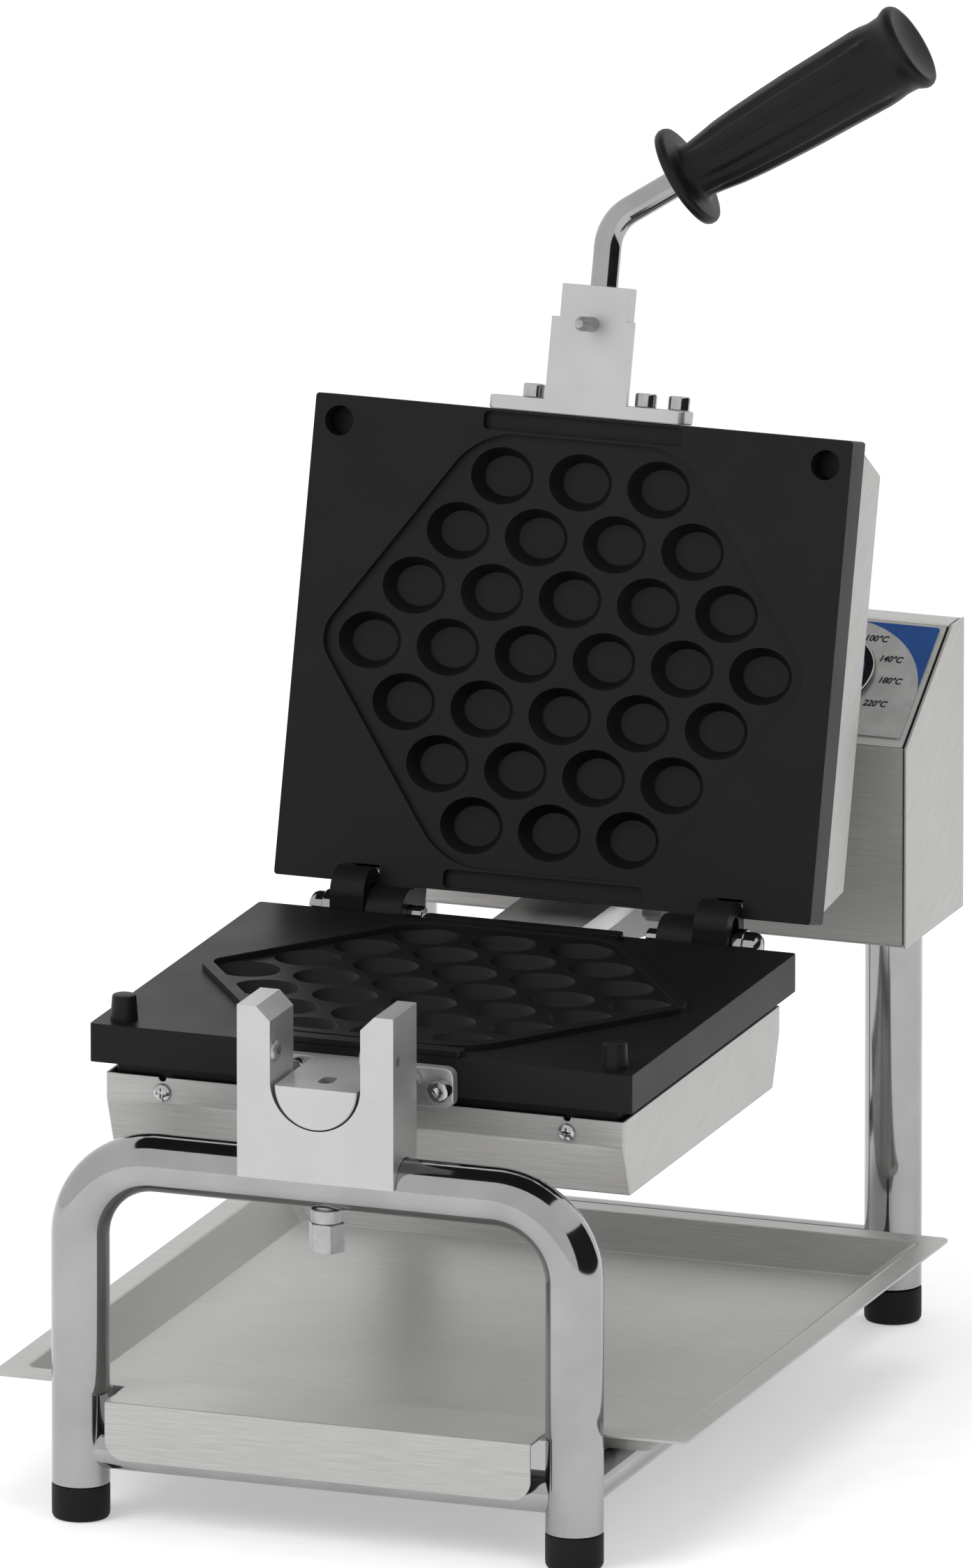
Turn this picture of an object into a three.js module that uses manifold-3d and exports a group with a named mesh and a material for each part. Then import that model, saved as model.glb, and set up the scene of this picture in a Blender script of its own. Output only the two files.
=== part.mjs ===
// Bubble waffle maker: a turning two-plate iron on a bent tube stand, lid open.
// Millimetres, X to the right, Y to the back, Z up from the floor.
import * as THREE from "three";
import Module from "manifold-3d";
import { mergeVertices } from "three/addons/utils/BufferGeometryUtils.js";

const wasm = await Module();
wasm.setup();

// Fits used everywhere
const GAP = 0.3;
const OVERRUN = 2;
const HALF_TURN = Math.PI;
const QUARTER_TURN = HALF_TURN / 2;

// Number of flat sides on round things
const SIDES = { tube: 16, wide: 24, small: 12, tiny: 8, pocket: 12, hexagon: 6, bend: 5, corner: 3 };

// Stand made of bent round tube
const STAND = {
  legX: 111.7,
  legY: 202.9,
  tubeRadius: 12.5,
  tubeWall: 1.5,
  crossbarZ: 159.7,
  bendRadius: 35,
  railRadius: 9,
  railZ: 31.6,
};
const FOOT = { height: 15.5, bevel: 0.8, plugHeight: 9 };

// Where the mould turns and where the lid swings
const FLIP_Z = 204.8;
const HINGE = { y: 57.7, z: 203.5 };
const LID_OPEN = THREE.MathUtils.degToRad(105);

// Drip tray folded from sheet
const TRAY = {
  sheet: 1,
  bottomZ: 40.9,
  rimZ: 55.5,
  halfWidth: 157.4,
  behindLeg: 12.4,
  backY: 147.4,
  sideRim: 10.4,
  frontRim: 14.5,
  rimCorner: 10,
  wallRunX: 16.5,
  wallRunY: 14.5,
  floorCorner: 6,
  tongueHalfWidth: 96.2,
  beforeLeg: 12.6,
  apronBottomZ: 30,
  apronCorner: 9,
  legClearance: 3.4,
};

// Fork that carries the front journal
const CRADLE = {
  halfWidth: 35.25,
  depth: 28.8,
  bottomZ: 161.5,
  topZ: 237.1,
  slotRadius: 20.6,
  chamferX: 6,
  chamferZ: 6.5,
  edge: 1.5,
};
const CRADLE_BOLT = { radius: 5, topZ: 181, headTopZ: 141.3, headBottomZ: 128.5, headRadius: 8.15,
  collar: 6.8 };
const CRADLE_FRONT_Y = -STAND.legY - CRADLE.depth / 2;
const EAR_SCREW = { fromFront: 5.8, z: 216.9, headRadius: 4.8, proud: 2.2, socketRadius: 1.55,
  socketDepth: 1.4, shankRadius: 2, shankEnd: 2.5 };

// The two mould halves share these sizes
const PLATE = {
  halfWidth: 122.6,
  frontY: -162.3,
  backY: 46.1,
  corner: 4,
  slab: 17,
  baseInset: 9,
  base: 17,
};
const LOWER_FACE_Z = 206.2;
const UPPER_FACE_Z = LOWER_FACE_Z + GAP;
const RIM = { fromSide: 10.1, fromEnd: 10.7, slant: 0.708, band: 5.5, height: 2.75, corner: 16,
  sideCorner: 10 };
const STRIP = { halfLength: 45, width: 7.2, fromEdge: 1.6 };
const RECESS = { side: 0.4, depth: RIM.height + GAP };
const POCKET = { rows: [3, 4, 5, 6, 5, 4, 3], fromSide: 33.35, fromEnd: 28.6, mouth: 14, floor: 10,
  depth: 7.8, flattenShare: 0.86 };
const STUD = { fromSide: 11.6, fromFront: 11.3, baseRadius: 6.1, topRadius: 5.2, height: 11 };

// Casing over the back of each plate
const CASING = {
  sheet: 1,
  inset: 5.45,
  start: 22.6,
  band: 11.8,
  total: 57.1,
  slopeIn: 8.7,
};
const CASING_SCREW = { x: 91.5, level: 29.1, headRadius: 4, headHeight: 2, shankRadius: 1.7, shank: 9,
  crossWidth: 1.1, crossLength: 4.6, crossDepth: 0.9, notch: 5.2 };

// Brackets on the front edge of each plate
const BRACKET = { halfWidth: 44.5, thickness: 6, depth: 17.5, corner: 4, journalRadius: 18.6,
  reliefRadius: 19.6, reliefLength: 12 };
const JOURNAL = { drop: 3.1, slotWidth: 6.6, slotLength: 11, slotFromFront: 15.3, slotDepth: 16 };
const SLOT_Y = CRADLE_FRONT_Y + JOURNAL.slotFromFront;
const STEM = { beforeCradle: 1.4, narrowLength: 14.4, narrowHalfWidth: 15 };
const STEM_END_Y = CRADLE_FRONT_Y - STEM.beforeCradle;
const LOCATING_PIN = { radius: 3, proud: 14, seat: 8, tip: 1.2 };
const CAP_SCREW = { headRadius: 4.8, headHeight: 6, socketRadius: 2.5, socketDepth: 3, shankRadius: 2.5,
  seat: 8, innerX: 25.5, innerLevel: 5.6, outerX: 39.4, outerLevel: 9 };
const REAR_SHAFT = { radius: 20.5, flatDrop: 0.1, fullLength: 34, intoBox: 26.6, bore: 5, boreLevel: -9,
  boreStartY: 62 };

// Hinge at the back
const LUG = { innerX: 75.3, outerX: 90.7, radius: 10.9, slotRise: 8, clearance: 0.7, notch: 8 };
const BARREL = { innerX: 58, outerX: 75, radius: 11, armLevel: 16 };
const HINGE_PIN = { radius: 4, innerX: 51, collarX: 91, collarRadius: 7.5, headX: 96, headRadius: 6.5,
  endX: 103 };

// Handle on the lid's bracket
const HANDLE = { radius: 6, level: 11.2, insert: 12, straight: 27.9, bendRadius: 20, bendDegrees: 56,
  toGuard: 37.6, inGrip: 92 };
const GRIP = { length: 120, guardRadius: 23, guardThickness: 5, startRadius: 12, wideRadius: 17,
  neckRadius: 14.5, endRadius: 20.5, edge: 1.6, middleShare: 0.33, wideShare: 0.67, flutes: 10,
  fluteRadius: 1.5, fluteOut: 0.5, fluteStart: 12, fluteEnd: 92 };

// Control box at the back
const BOX = {
  halfWidth: 130.4,
  halfDepth: 37.5,
  bottomZ: 177.6,
  shoulderZ: 267,
  topZ: 307.2,
  slopeRun: 59.3,
  sheet: 1.2,
  seam: 0.9,
};
const BOX_FRONT_Y = STAND.legY - BOX.halfDepth;
const BOX_BACK_Y = STAND.legY + BOX.halfDepth;
const BOX_INNER_HALF = BOX.halfWidth - BOX.sheet;
const SLOPE_RISE = BOX.topZ - BOX.shoulderZ;
const SLOPE_LENGTH = Math.hypot(BOX.slopeRun, SLOPE_RISE);
const SLOPE_ANGLE = Math.atan2(SLOPE_RISE, BOX.slopeRun);
const COVER = { margin: 4, opening: 14, fold: 4 };
const LABEL = { leftX: 34, fromSide: 3.2, bottom: 5.1, fromTop: 2.6, thickness: 0.5, corner: 1.5, hole: 6 };
const KNOB = { x: 82.7, up: 37, skirtRadius: 22.4, skirtHeight: 3.5, capRadius: 17.5, topRadius: 15.5,
  height: 19, round: 1.2, gripWidth: 7, gripHeight: 3, lift: 1.2, bore: 3.3, boreDepth: 12, pointer: 1.6 };
const THERMOSTAT = { halfWidth: 17, depth: 24, shaftRadius: 3, shaftOut: 11, neckRadius: 4.5, neck: 2.6 };
const ROCKER = { x: -84, up: 36, width: 31, height: 25, flange: 2, wall: 2, bodyDepth: 22, corner: 2,
  buttonThickness: 5, tilt: 0.17, pivotDrop: 2.4, clearance: 0.6 };
const LAMP = { x: -40, up: 36, radius: 6, flangeRadius: 8, dome: 4, flange: 1.5, depth: 18 };
const GLAND = { x: -92, z: 204, radius: 8, bore: 4, nutRadius: 11, nut: 5, outside: 14, inside: 8 };
const BEARING = { wall: 5, flangeRadius: 34, flange: 4 };

// Heating element behind each plate
const HEATER = { radius: 4, halfX: 84, halfY: 62, corner: 14, ends: 18, offBase: 0.5 };
const LID_GLAND = { x: 39, radius: 6.8, level: 41.5, inside: 9, outside: 11, bore: 3, round: 2 };

// Finishes
const CHROME = { color: 0xd8dadc, roughness: 0.12, metalness: 1 };
const STAINLESS = { color: 0xa8a8a4, roughness: 0.35, metalness: 1 };
const ALUMINIUM = { color: 0xc6c7c8, roughness: 0.45, metalness: 1 };
const COATED_CAST = { color: 0x2a2a2b, roughness: 0.6, metalness: 0.2 };
const ZINC = { color: 0xb8bcc2, roughness: 0.3, metalness: 1 };
const RUBBER = { color: 0x1b1b1c, roughness: 0.85, metalness: 0 };
const BLACK_PLASTIC = { color: 0x18181a, roughness: 0.5, metalness: 0 };
const GREY_PLASTIC = { color: 0x8a8c8e, roughness: 0.6, metalness: 0 };
const LABEL_FILM = { color: 0xd3d6d8, roughness: 0.5, metalness: 0.1 };
const RED_LENS = { color: 0xb01818, roughness: 0.25, metalness: 0 };
const ELEMENT_STEEL = { color: 0x5c5a58, roughness: 0.55, metalness: 0.9 };

// A curve through hand-placed stations, one ring of tube at each
class StationPath extends THREE.Curve {
  constructor(stations) {
    super();
    this.stations = stations;
  }

  getPoint(share, target = new THREE.Vector3()) {
    const last = this.stations.length - 1;
    return target.copy(this.stations[Math.round(share * last)]);
  }

  getPointAt(share, target) {
    return this.getPoint(share, target);
  }

  getTangentAt(share, target = new THREE.Vector3()) {
    const last = this.stations.length - 1;
    const here = Math.round(share * last);
    const before = this.stations[Math.max(here - 1, 0)];
    const after = this.stations[Math.min(here + 1, last)];
    const intoStation = this.stations[here].clone().sub(before).normalize();
    const outOfStation = after.clone().sub(this.stations[here]).normalize();
    return target.copy(intoStation).add(outOfStation).normalize();
  }
}

// Stations of a path with rounded corners
function roundedStations(corners, bendRadius, steps = SIDES.bend) {
  const stations = [corners[0].clone()];
  for (let i = 1; i < corners.length - 1; i += 1) {
    const back = corners[i - 1].clone().sub(corners[i]).normalize();
    const ahead = corners[i + 1].clone().sub(corners[i]).normalize();
    const halfAngle = back.angleTo(ahead) / 2;
    const centre = back.clone().add(ahead).normalize().multiplyScalar(bendRadius / Math.sin(halfAngle));
    centre.add(corners[i]);
    const start = corners[i].clone().addScaledVector(back, bendRadius / Math.tan(halfAngle)).sub(centre);
    const axis = back.clone().cross(start).normalize();
    const turn = HALF_TURN - 2 * halfAngle;
    for (let step = 0; step <= steps; step += 1) {
      const spoke = start.clone().applyAxisAngle(axis, turn * step / steps);
      stations.push(spoke.add(centre));
    }
  }
  stations.push(corners.at(-1).clone());
  return stations;
}

// Manifold solid from a three.js geometry, without the slivers that collapse on an axis
function solid(geometry) {
  const bare = new THREE.BufferGeometry();
  bare.setAttribute("position", geometry.getAttribute("position").clone());
  if (geometry.index) bare.setIndex(geometry.index.clone());
  const merged = mergeVertices(bare);
  const index = merged.index.array;
  const kept = [];
  for (let i = 0; i < index.length; i += 3) {
    const [a, b, c] = index.slice(i, i + 3);
    if (a !== b && b !== c && c !== a) kept.push(a, b, c);
  }
  return new wasm.Manifold(new wasm.Mesh({
    numProp: 3,
    vertProperties: new Float32Array(merged.getAttribute("position").array),
    triVerts: new Uint32Array(kept),
  }));
}

function geometryOf(shape) {
  const mesh = shape.getMesh();
  const geometry = new THREE.BufferGeometry();
  const corners = new THREE.BufferAttribute(new Float32Array(mesh.vertProperties), mesh.numProp);
  geometry.setAttribute("position", corners);
  geometry.setIndex(new THREE.BufferAttribute(new Uint32Array(mesh.triVerts), 1));
  geometry.computeVertexNormals();
  return geometry;
}

function node(name, shape, finish) {
  const mesh = new THREE.Mesh(geometryOf(shape), new THREE.MeshStandardMaterial(finish));
  mesh.name = name;
  return mesh;
}

// Blocks and round bars
function block(x0, x1, y0, y1, z0, z1) {
  const geometry = new THREE.BoxGeometry(x1 - x0, y1 - y0, z1 - z0);
  geometry.translate((x0 + x1) / 2, (y0 + y1) / 2, (z0 + z1) / 2);
  return solid(geometry);
}

function barAlongZ(radius, z0, z1, x, y, sides = SIDES.small, topRadius = radius) {
  const geometry = new THREE.CylinderGeometry(topRadius, radius, z1 - z0, sides);
  geometry.rotateX(QUARTER_TURN);
  geometry.translate(x, y, (z0 + z1) / 2);
  return solid(geometry);
}

function barAlongY(radius, y0, y1, x, z, sides = SIDES.small) {
  const geometry = new THREE.CylinderGeometry(radius, radius, y1 - y0, sides);
  geometry.translate(x, (y0 + y1) / 2, z);
  return solid(geometry);
}

function barAlongX(radius, x0, x1, y, z, sides = SIDES.small) {
  const geometry = new THREE.CylinderGeometry(radius, radius, x1 - x0, sides);
  geometry.rotateZ(QUARTER_TURN);
  geometry.translate((x0 + x1) / 2, y, z);
  return solid(geometry);
}

// Turned pieces: the profile is a list of [radius, height] from the foot up and back to the axis
function turned(profile, sides = SIDES.wide, place = new THREE.Matrix4()) {
  const points = profile.map(([radius, height]) => new THREE.Vector2(radius, height));
  return solid(new THREE.LatheGeometry(points, sides).applyMatrix4(place));
}

function turnedAlongZ(profile, x, y, sides) {
  const stand = new THREE.Matrix4().makeRotationX(QUARTER_TURN);
  return turned(profile, sides, new THREE.Matrix4().makeTranslation(x, y, 0).multiply(stand));
}

// Outlines
function roundedBox(x0, x1, y0, y1, radius) {
  return roundedOutline([[x0, y0], [x1, y0], [x1, y1], [x0, y1]], [radius]);
}

function roundedOutline(corners, radii) {
  const shape = new THREE.Shape();
  corners.forEach(([x, y], i) => {
    const here = new THREE.Vector2(x, y);
    const before = new THREE.Vector2(...corners.at(i - 1)).sub(here).normalize();
    const after = new THREE.Vector2(...corners[(i + 1) % corners.length]).sub(here).normalize();
    const reach = radii[i % radii.length] / Math.tan(before.angleTo(after) / 2);
    const start = here.clone().addScaledVector(before, reach);
    const end = here.clone().addScaledVector(after, reach);
    if (i === 0) shape.moveTo(start.x, start.y);
    else shape.lineTo(start.x, start.y);
    if (reach > 0) shape.quadraticCurveTo(here.x, here.y, end.x, end.y);
  });
  shape.closePath();
  return shape;
}

function extruded(shape, depth, curveSegments = SIDES.corner) {
  return new THREE.ExtrudeGeometry(shape, { depth, curveSegments, bevelEnabled: false });
}

function raised(shape, z0, z1, curveSegments) {
  return solid(extruded(shape, z1 - z0, curveSegments).translate(0, 0, z0));
}

// An outline drawn in X and Z, given depth along Y
function raisedAlongY(shape, y0, y1, curveSegments) {
  const geometry = extruded(shape, y1 - y0, curveSegments);
  geometry.rotateX(QUARTER_TURN);
  geometry.translate(0, y1, 0);
  return solid(geometry);
}

// An outline drawn in Y and Z, given width along X
function raisedAlongX(shape, x0, x1, curveSegments) {
  const geometry = extruded(shape, x1 - x0, curveSegments);
  geometry.rotateX(QUARTER_TURN);
  geometry.rotateZ(QUARTER_TURN);
  geometry.translate(x0, 0, 0);
  return solid(geometry);
}

// A rounded box outline that grows from one rectangle to another on its way up
function funnel(low, high, radius, z0, z1) {
  const shape = roundedBox(low[0], low[1], low[2], low[3], radius);
  const geometry = extruded(shape, z1 - z0).translate(0, 0, z0);
  const position = geometry.getAttribute("position");
  for (let i = 0; i < position.count; i += 1) {
    if (position.getZ(i) < (z0 + z1) / 2) continue;
    const shareX = (position.getX(i) - low[0]) / (low[1] - low[0]);
    const shareY = (position.getY(i) - low[2]) / (low[3] - low[2]);
    position.setX(i, THREE.MathUtils.lerp(high[0], high[1], shareX));
    position.setY(i, THREE.MathUtils.lerp(high[2], high[3], shareY));
  }
  return solid(geometry);
}

function pipe(stations, radius, wall, sides = SIDES.tube) {
  const section = new THREE.Shape().absarc(0, 0, radius, 0, 2 * HALF_TURN);
  if (wall > 0) section.holes.push(new THREE.Path().absarc(0, 0, radius - wall, 0, 2 * HALF_TURN));
  const extrudePath = new StationPath(stations);
  return solid(new THREE.ExtrudeGeometry(section, { extrudePath, steps: stations.length - 1,
    curveSegments: sides / 2 }));
}

function point(x, y, z) {
  return new THREE.Vector3(x, y, z);
}

// Stand
function frontFrame() {
  const z0 = FOOT.height + GAP;
  const corners = [
    point(-STAND.legX, -STAND.legY, z0),
    point(-STAND.legX, -STAND.legY, STAND.crossbarZ),
    point(STAND.legX, -STAND.legY, STAND.crossbarZ),
    point(STAND.legX, -STAND.legY, z0),
  ];
  const tube = pipe(roundedStations(corners, STAND.bendRadius), STAND.tubeRadius, STAND.tubeWall);
  const reach = STAND.tubeRadius + OVERRUN;
  const boltHole = barAlongZ(CRADLE_BOLT.radius + GAP, STAND.crossbarZ - reach, STAND.crossbarZ + reach,
    0, -STAND.legY);
  return node("front_frame", tube.subtract(boltHole), CHROME);
}

function rearLeg(name, side) {
  const x = side * STAND.legX;
  const z0 = FOOT.height + GAP;
  const z1 = BOX.bottomZ - GAP;
  const tube = barAlongZ(STAND.tubeRadius, z0, z1, x, STAND.legY, SIDES.tube);
  const bore = barAlongZ(STAND.tubeRadius - STAND.tubeWall, z0 - OVERRUN, z1 + OVERRUN, x, STAND.legY,
    SIDES.tube);
  return node(name, tube.subtract(bore), CHROME);
}

function foot(name, x, y) {
  const plug = STAND.tubeRadius - STAND.tubeWall - GAP;
  const outer = STAND.tubeRadius;
  const shape = turnedAlongZ([
    [0, 0],
    [outer - FOOT.bevel, 0],
    [outer, FOOT.bevel],
    [outer, FOOT.height],
    [plug, FOOT.height],
    [plug, FOOT.height + FOOT.plugHeight],
    [0, FOOT.height + FOOT.plugHeight],
  ], x, y, SIDES.tube);
  return node(name, shape, RUBBER);
}

// Rails are coped round the legs they meet
function legCope(x, y) {
  const reach = STAND.railRadius + OVERRUN;
  return barAlongZ(STAND.tubeRadius + GAP, STAND.railZ - reach, STAND.railZ + reach, x, y, SIDES.tube);
}

function crossRail(name, y) {
  const wall = STAND.tubeWall;
  const tube = barAlongX(STAND.railRadius, -STAND.legX, STAND.legX, y, STAND.railZ, SIDES.small)
    .subtract(barAlongX(STAND.railRadius - wall, -STAND.legX, STAND.legX, y, STAND.railZ, SIDES.small));
  return node(name, tube.subtract(legCope(-STAND.legX, y)).subtract(legCope(STAND.legX, y)), CHROME);
}

function sideRail(name, side) {
  const x = side * STAND.legX;
  const wall = STAND.tubeWall;
  const tube = barAlongY(STAND.railRadius, -STAND.legY, STAND.legY, x, STAND.railZ, SIDES.small)
    .subtract(barAlongY(STAND.railRadius - wall, -STAND.legY, STAND.legY, x, STAND.railZ, SIDES.small));
  return node(name, tube.subtract(legCope(x, -STAND.legY)).subtract(legCope(x, STAND.legY)), CHROME);
}

function addStand(group) {
  group.add(frontFrame());
  group.add(rearLeg("rear_leg_left", -1), rearLeg("rear_leg_right", 1));
  group.add(crossRail("front_rail", -STAND.legY), crossRail("rear_rail", STAND.legY));
  group.add(sideRail("side_rail_left", -1), sideRail("side_rail_right", 1));
  for (const [end, y] of [["front", -STAND.legY], ["rear", STAND.legY]]) {
    group.add(foot(`foot_${end}_left`, -STAND.legX, y), foot(`foot_${end}_right`, STAND.legX, y));
  }
}

// Drip tray: the rim, sloping walls and floor are one sheet, with an apron over the front rail
function dripTray() {
  const { sheet, halfWidth, backY, rimZ, bottomZ } = TRAY;
  const frontY = TRAY.behindLeg - STAND.legY;
  const tongueY = -STAND.legY - TRAY.beforeLeg;
  const mouth = [-halfWidth + TRAY.sideRim, halfWidth - TRAY.sideRim,
    frontY + TRAY.frontRim, backY - TRAY.sideRim];
  const floor = [mouth[0] + TRAY.wallRunX, mouth[1] - TRAY.wallRunX,
    mouth[2] + TRAY.wallRunY, mouth[3] - TRAY.wallRunY];
  const grown = (box) => [box[0] - sheet, box[1] + sheet, box[2] - sheet, box[3] + sheet];
  const rim = raised(roundedBox(-halfWidth, halfWidth, frontY, backY, TRAY.rimCorner), rimZ - sheet, rimZ);
  const tongue = block(-TRAY.tongueHalfWidth, TRAY.tongueHalfWidth, tongueY, frontY + TRAY.rimCorner,
    rimZ - sheet, rimZ);
  const apron = raisedAlongY(roundedOutline([
    [-TRAY.tongueHalfWidth, TRAY.apronBottomZ],
    [TRAY.tongueHalfWidth, TRAY.apronBottomZ],
    [TRAY.tongueHalfWidth, rimZ],
    [-TRAY.tongueHalfWidth, rimZ],
  ], [TRAY.apronCorner, TRAY.apronCorner, 0, 0]), tongueY, tongueY + sheet);
  const outside = funnel(grown(floor), grown(mouth), TRAY.floorCorner, bottomZ, rimZ - sheet / 2);
  const inside = funnel(floor, mouth, TRAY.floorCorner, bottomZ + sheet, rimZ);
  const aboveRim = raised(roundedBox(...mouth, TRAY.floorCorner), rimZ - sheet / 2, rimZ + OVERRUN);
  const notchRadius = STAND.tubeRadius + TRAY.legClearance;
  const notch = (x) => barAlongZ(notchRadius, rimZ - OVERRUN, rimZ + OVERRUN, x, -STAND.legY, SIDES.tube);
  const shape = rim.add(tongue).add(apron).add(outside).subtract(inside).subtract(aboveRim)
    .subtract(notch(-STAND.legX)).subtract(notch(STAND.legX));
  return node("drip_tray", shape, STAINLESS);
}

// Cradle
function cradleBlock() {
  const { halfWidth, bottomZ, topZ, slotRadius, chamferX, chamferZ, edge } = CRADLE;
  const y1 = CRADLE_FRONT_Y + CRADLE.depth;
  const outline = new THREE.Shape();
  outline.moveTo(-halfWidth + edge, bottomZ);
  outline.lineTo(halfWidth - edge, bottomZ);
  outline.lineTo(halfWidth, bottomZ + edge);
  outline.lineTo(halfWidth, topZ - edge);
  outline.lineTo(halfWidth - edge, topZ);
  outline.lineTo(slotRadius + chamferX, topZ);
  outline.lineTo(slotRadius, topZ - chamferZ);
  outline.lineTo(slotRadius, FLIP_Z);
  outline.absarc(0, FLIP_Z, slotRadius, 0, -HALF_TURN, true);
  outline.lineTo(-slotRadius, topZ - chamferZ);
  outline.lineTo(-slotRadius - chamferX, topZ);
  outline.lineTo(-halfWidth + edge, topZ);
  outline.lineTo(-halfWidth, topZ - edge);
  outline.lineTo(-halfWidth, bottomZ + edge);
  const reach = halfWidth + OVERRUN;
  const saddle = barAlongX(STAND.tubeRadius + GAP, -reach, reach, -STAND.legY, STAND.crossbarZ, SIDES.wide);
  const boltHole = barAlongZ(CRADLE_BOLT.radius + GAP, bottomZ - OVERRUN, CRADLE_BOLT.topZ + GAP,
    0, -STAND.legY);
  const screwHoles = barAlongX(EAR_SCREW.shankRadius + GAP, -reach, reach,
    CRADLE_FRONT_Y + EAR_SCREW.fromFront, EAR_SCREW.z, SIDES.tiny);
  const shape = raisedAlongY(outline, CRADLE_FRONT_Y, y1, SIDES.small)
    .subtract(saddle).subtract(boltHole).subtract(screwHoles);
  return node("cradle_block", shape, ALUMINIUM);
}

function cradleBolt() {
  const { radius, collar, headRadius, headTopZ, headBottomZ, topZ } = CRADLE_BOLT;
  const tubeBottomZ = STAND.crossbarZ - STAND.tubeRadius - GAP;
  const head = barAlongZ(headRadius, headBottomZ, headTopZ, 0, -STAND.legY, SIDES.hexagon);
  const washer = barAlongZ(collar, headTopZ - GAP, tubeBottomZ, 0, -STAND.legY);
  const shank = barAlongZ(radius, headTopZ - GAP, topZ, 0, -STAND.legY);
  return node("cradle_bolt", head.add(washer).add(shank), ZINC);
}

// Button-head screw inside an ear, head towards the journal
function earScrew(name, side) {
  const { z, headRadius, proud, socketRadius, socketDepth, shankRadius, shankEnd } = EAR_SCREW;
  const y = CRADLE_FRONT_Y + EAR_SCREW.fromFront;
  const seat = CRADLE.slotRadius - GAP;
  const dome = proud / 2;
  const shape = turned([
    [0, seat - proud],
    [headRadius - dome, seat - proud],
    [headRadius, seat - dome],
    [headRadius, seat],
    [shankRadius, seat],
    [shankRadius, CRADLE.halfWidth - shankEnd],
    [0, CRADLE.halfWidth - shankEnd],
  ], SIDES.small, new THREE.Matrix4().makeTranslation(0, y, z)
    .multiply(new THREE.Matrix4().makeRotationZ(-side * QUARTER_TURN)));
  const tip = side * (seat - proud);
  const [x0, x1] = [tip - side * OVERRUN, tip + side * socketDepth].sort((a, b) => a - b);
  return node(name, shape.subtract(barAlongX(socketRadius, x0, x1, y, z, SIDES.hexagon)), ZINC);
}

// Control box
function boxProfile(inset) {
  const { bottomZ, shoulderZ, topZ } = BOX;
  const shift = inset * Math.tan((QUARTER_TURN - SLOPE_ANGLE) / 2);
  const drop = inset * Math.tan(SLOPE_ANGLE / 2);
  const shape = new THREE.Shape();
  shape.moveTo(BOX_FRONT_Y + inset, bottomZ + inset);
  shape.lineTo(BOX_BACK_Y - inset, bottomZ + inset);
  shape.lineTo(BOX_BACK_Y - inset, topZ - inset);
  shape.lineTo(BOX_FRONT_Y + BOX.slopeRun + drop, topZ - inset);
  shape.lineTo(BOX_FRONT_Y + inset, shoulderZ - shift);
  return shape;
}

function slopeMatrix() {
  return new THREE.Matrix4().makeTranslation(0, BOX_FRONT_Y, BOX.shoulderZ)
    .multiply(new THREE.Matrix4().makeRotationX(SLOPE_ANGLE));
}

function boxBody() {
  const { halfWidth, sheet, bottomZ, topZ } = BOX;
  const slopeCut = new THREE.BoxGeometry(2 * BOX_INNER_HALF, SLOPE_LENGTH, 2 * sheet + OVERRUN)
    .translate(0, SLOPE_LENGTH / 2, 0).applyMatrix4(slopeMatrix());
  const backCut = block(-halfWidth + COVER.opening, halfWidth - COVER.opening, BOX_BACK_Y - sheet - OVERRUN,
    BOX_BACK_Y + OVERRUN, bottomZ + COVER.opening, topZ - COVER.opening);
  const shaftHole = barAlongY(REAR_SHAFT.radius + BEARING.wall + 2 * GAP, BOX_FRONT_Y - OVERRUN,
    BOX_FRONT_Y + sheet + OVERRUN, 0, FLIP_Z, SIDES.wide);
  const shape = raisedAlongX(boxProfile(0), -halfWidth, halfWidth)
    .subtract(raisedAlongX(boxProfile(sheet), -BOX_INNER_HALF, BOX_INNER_HALF))
    .subtract(solid(slopeCut)).subtract(backCut).subtract(shaftHole);
  return node("box_body", shape, STAINLESS);
}

function backCover() {
  const { halfWidth, bottomZ, topZ, sheet } = BOX;
  const { margin, fold, opening } = COVER;
  const y0 = BOX_BACK_Y + GAP;
  const panel = block(-halfWidth + margin, halfWidth - margin, y0, y0 + sheet,
    bottomZ + margin, topZ - margin);
  const clear = opening + GAP;
  const lip = block(-halfWidth + clear, halfWidth - clear, y0 - fold, y0 + sheet / 2,
    bottomZ + clear, topZ - clear);
  const hollow = block(-halfWidth + clear + sheet, halfWidth - clear - sheet, y0 - fold - OVERRUN, y0,
    bottomZ + clear + sheet, topZ - clear - sheet);
  const glandHole = barAlongY(GLAND.radius + GAP, y0 - OVERRUN, y0 + sheet + OVERRUN, GLAND.x, GLAND.z);
  return node("back_cover", panel.add(lip).subtract(hollow).subtract(glandHole), STAINLESS);
}

function cableInlet() {
  const { radius, bore, nut, nutRadius, inside, outside, x, z } = GLAND;
  const y0 = BOX_BACK_Y + GAP + BOX.sheet + GAP;
  const body = barAlongY(radius, y0 - inside, y0 + outside, x, z);
  const flange = barAlongY(nutRadius, y0, y0 + nut, x, z, SIDES.hexagon);
  const hole = barAlongY(bore, y0 - inside - OVERRUN, y0 + outside + OVERRUN, x, z, SIDES.tiny);
  return node("cable_inlet", body.add(flange).subtract(hole), BLACK_PLASTIC);
}

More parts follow.
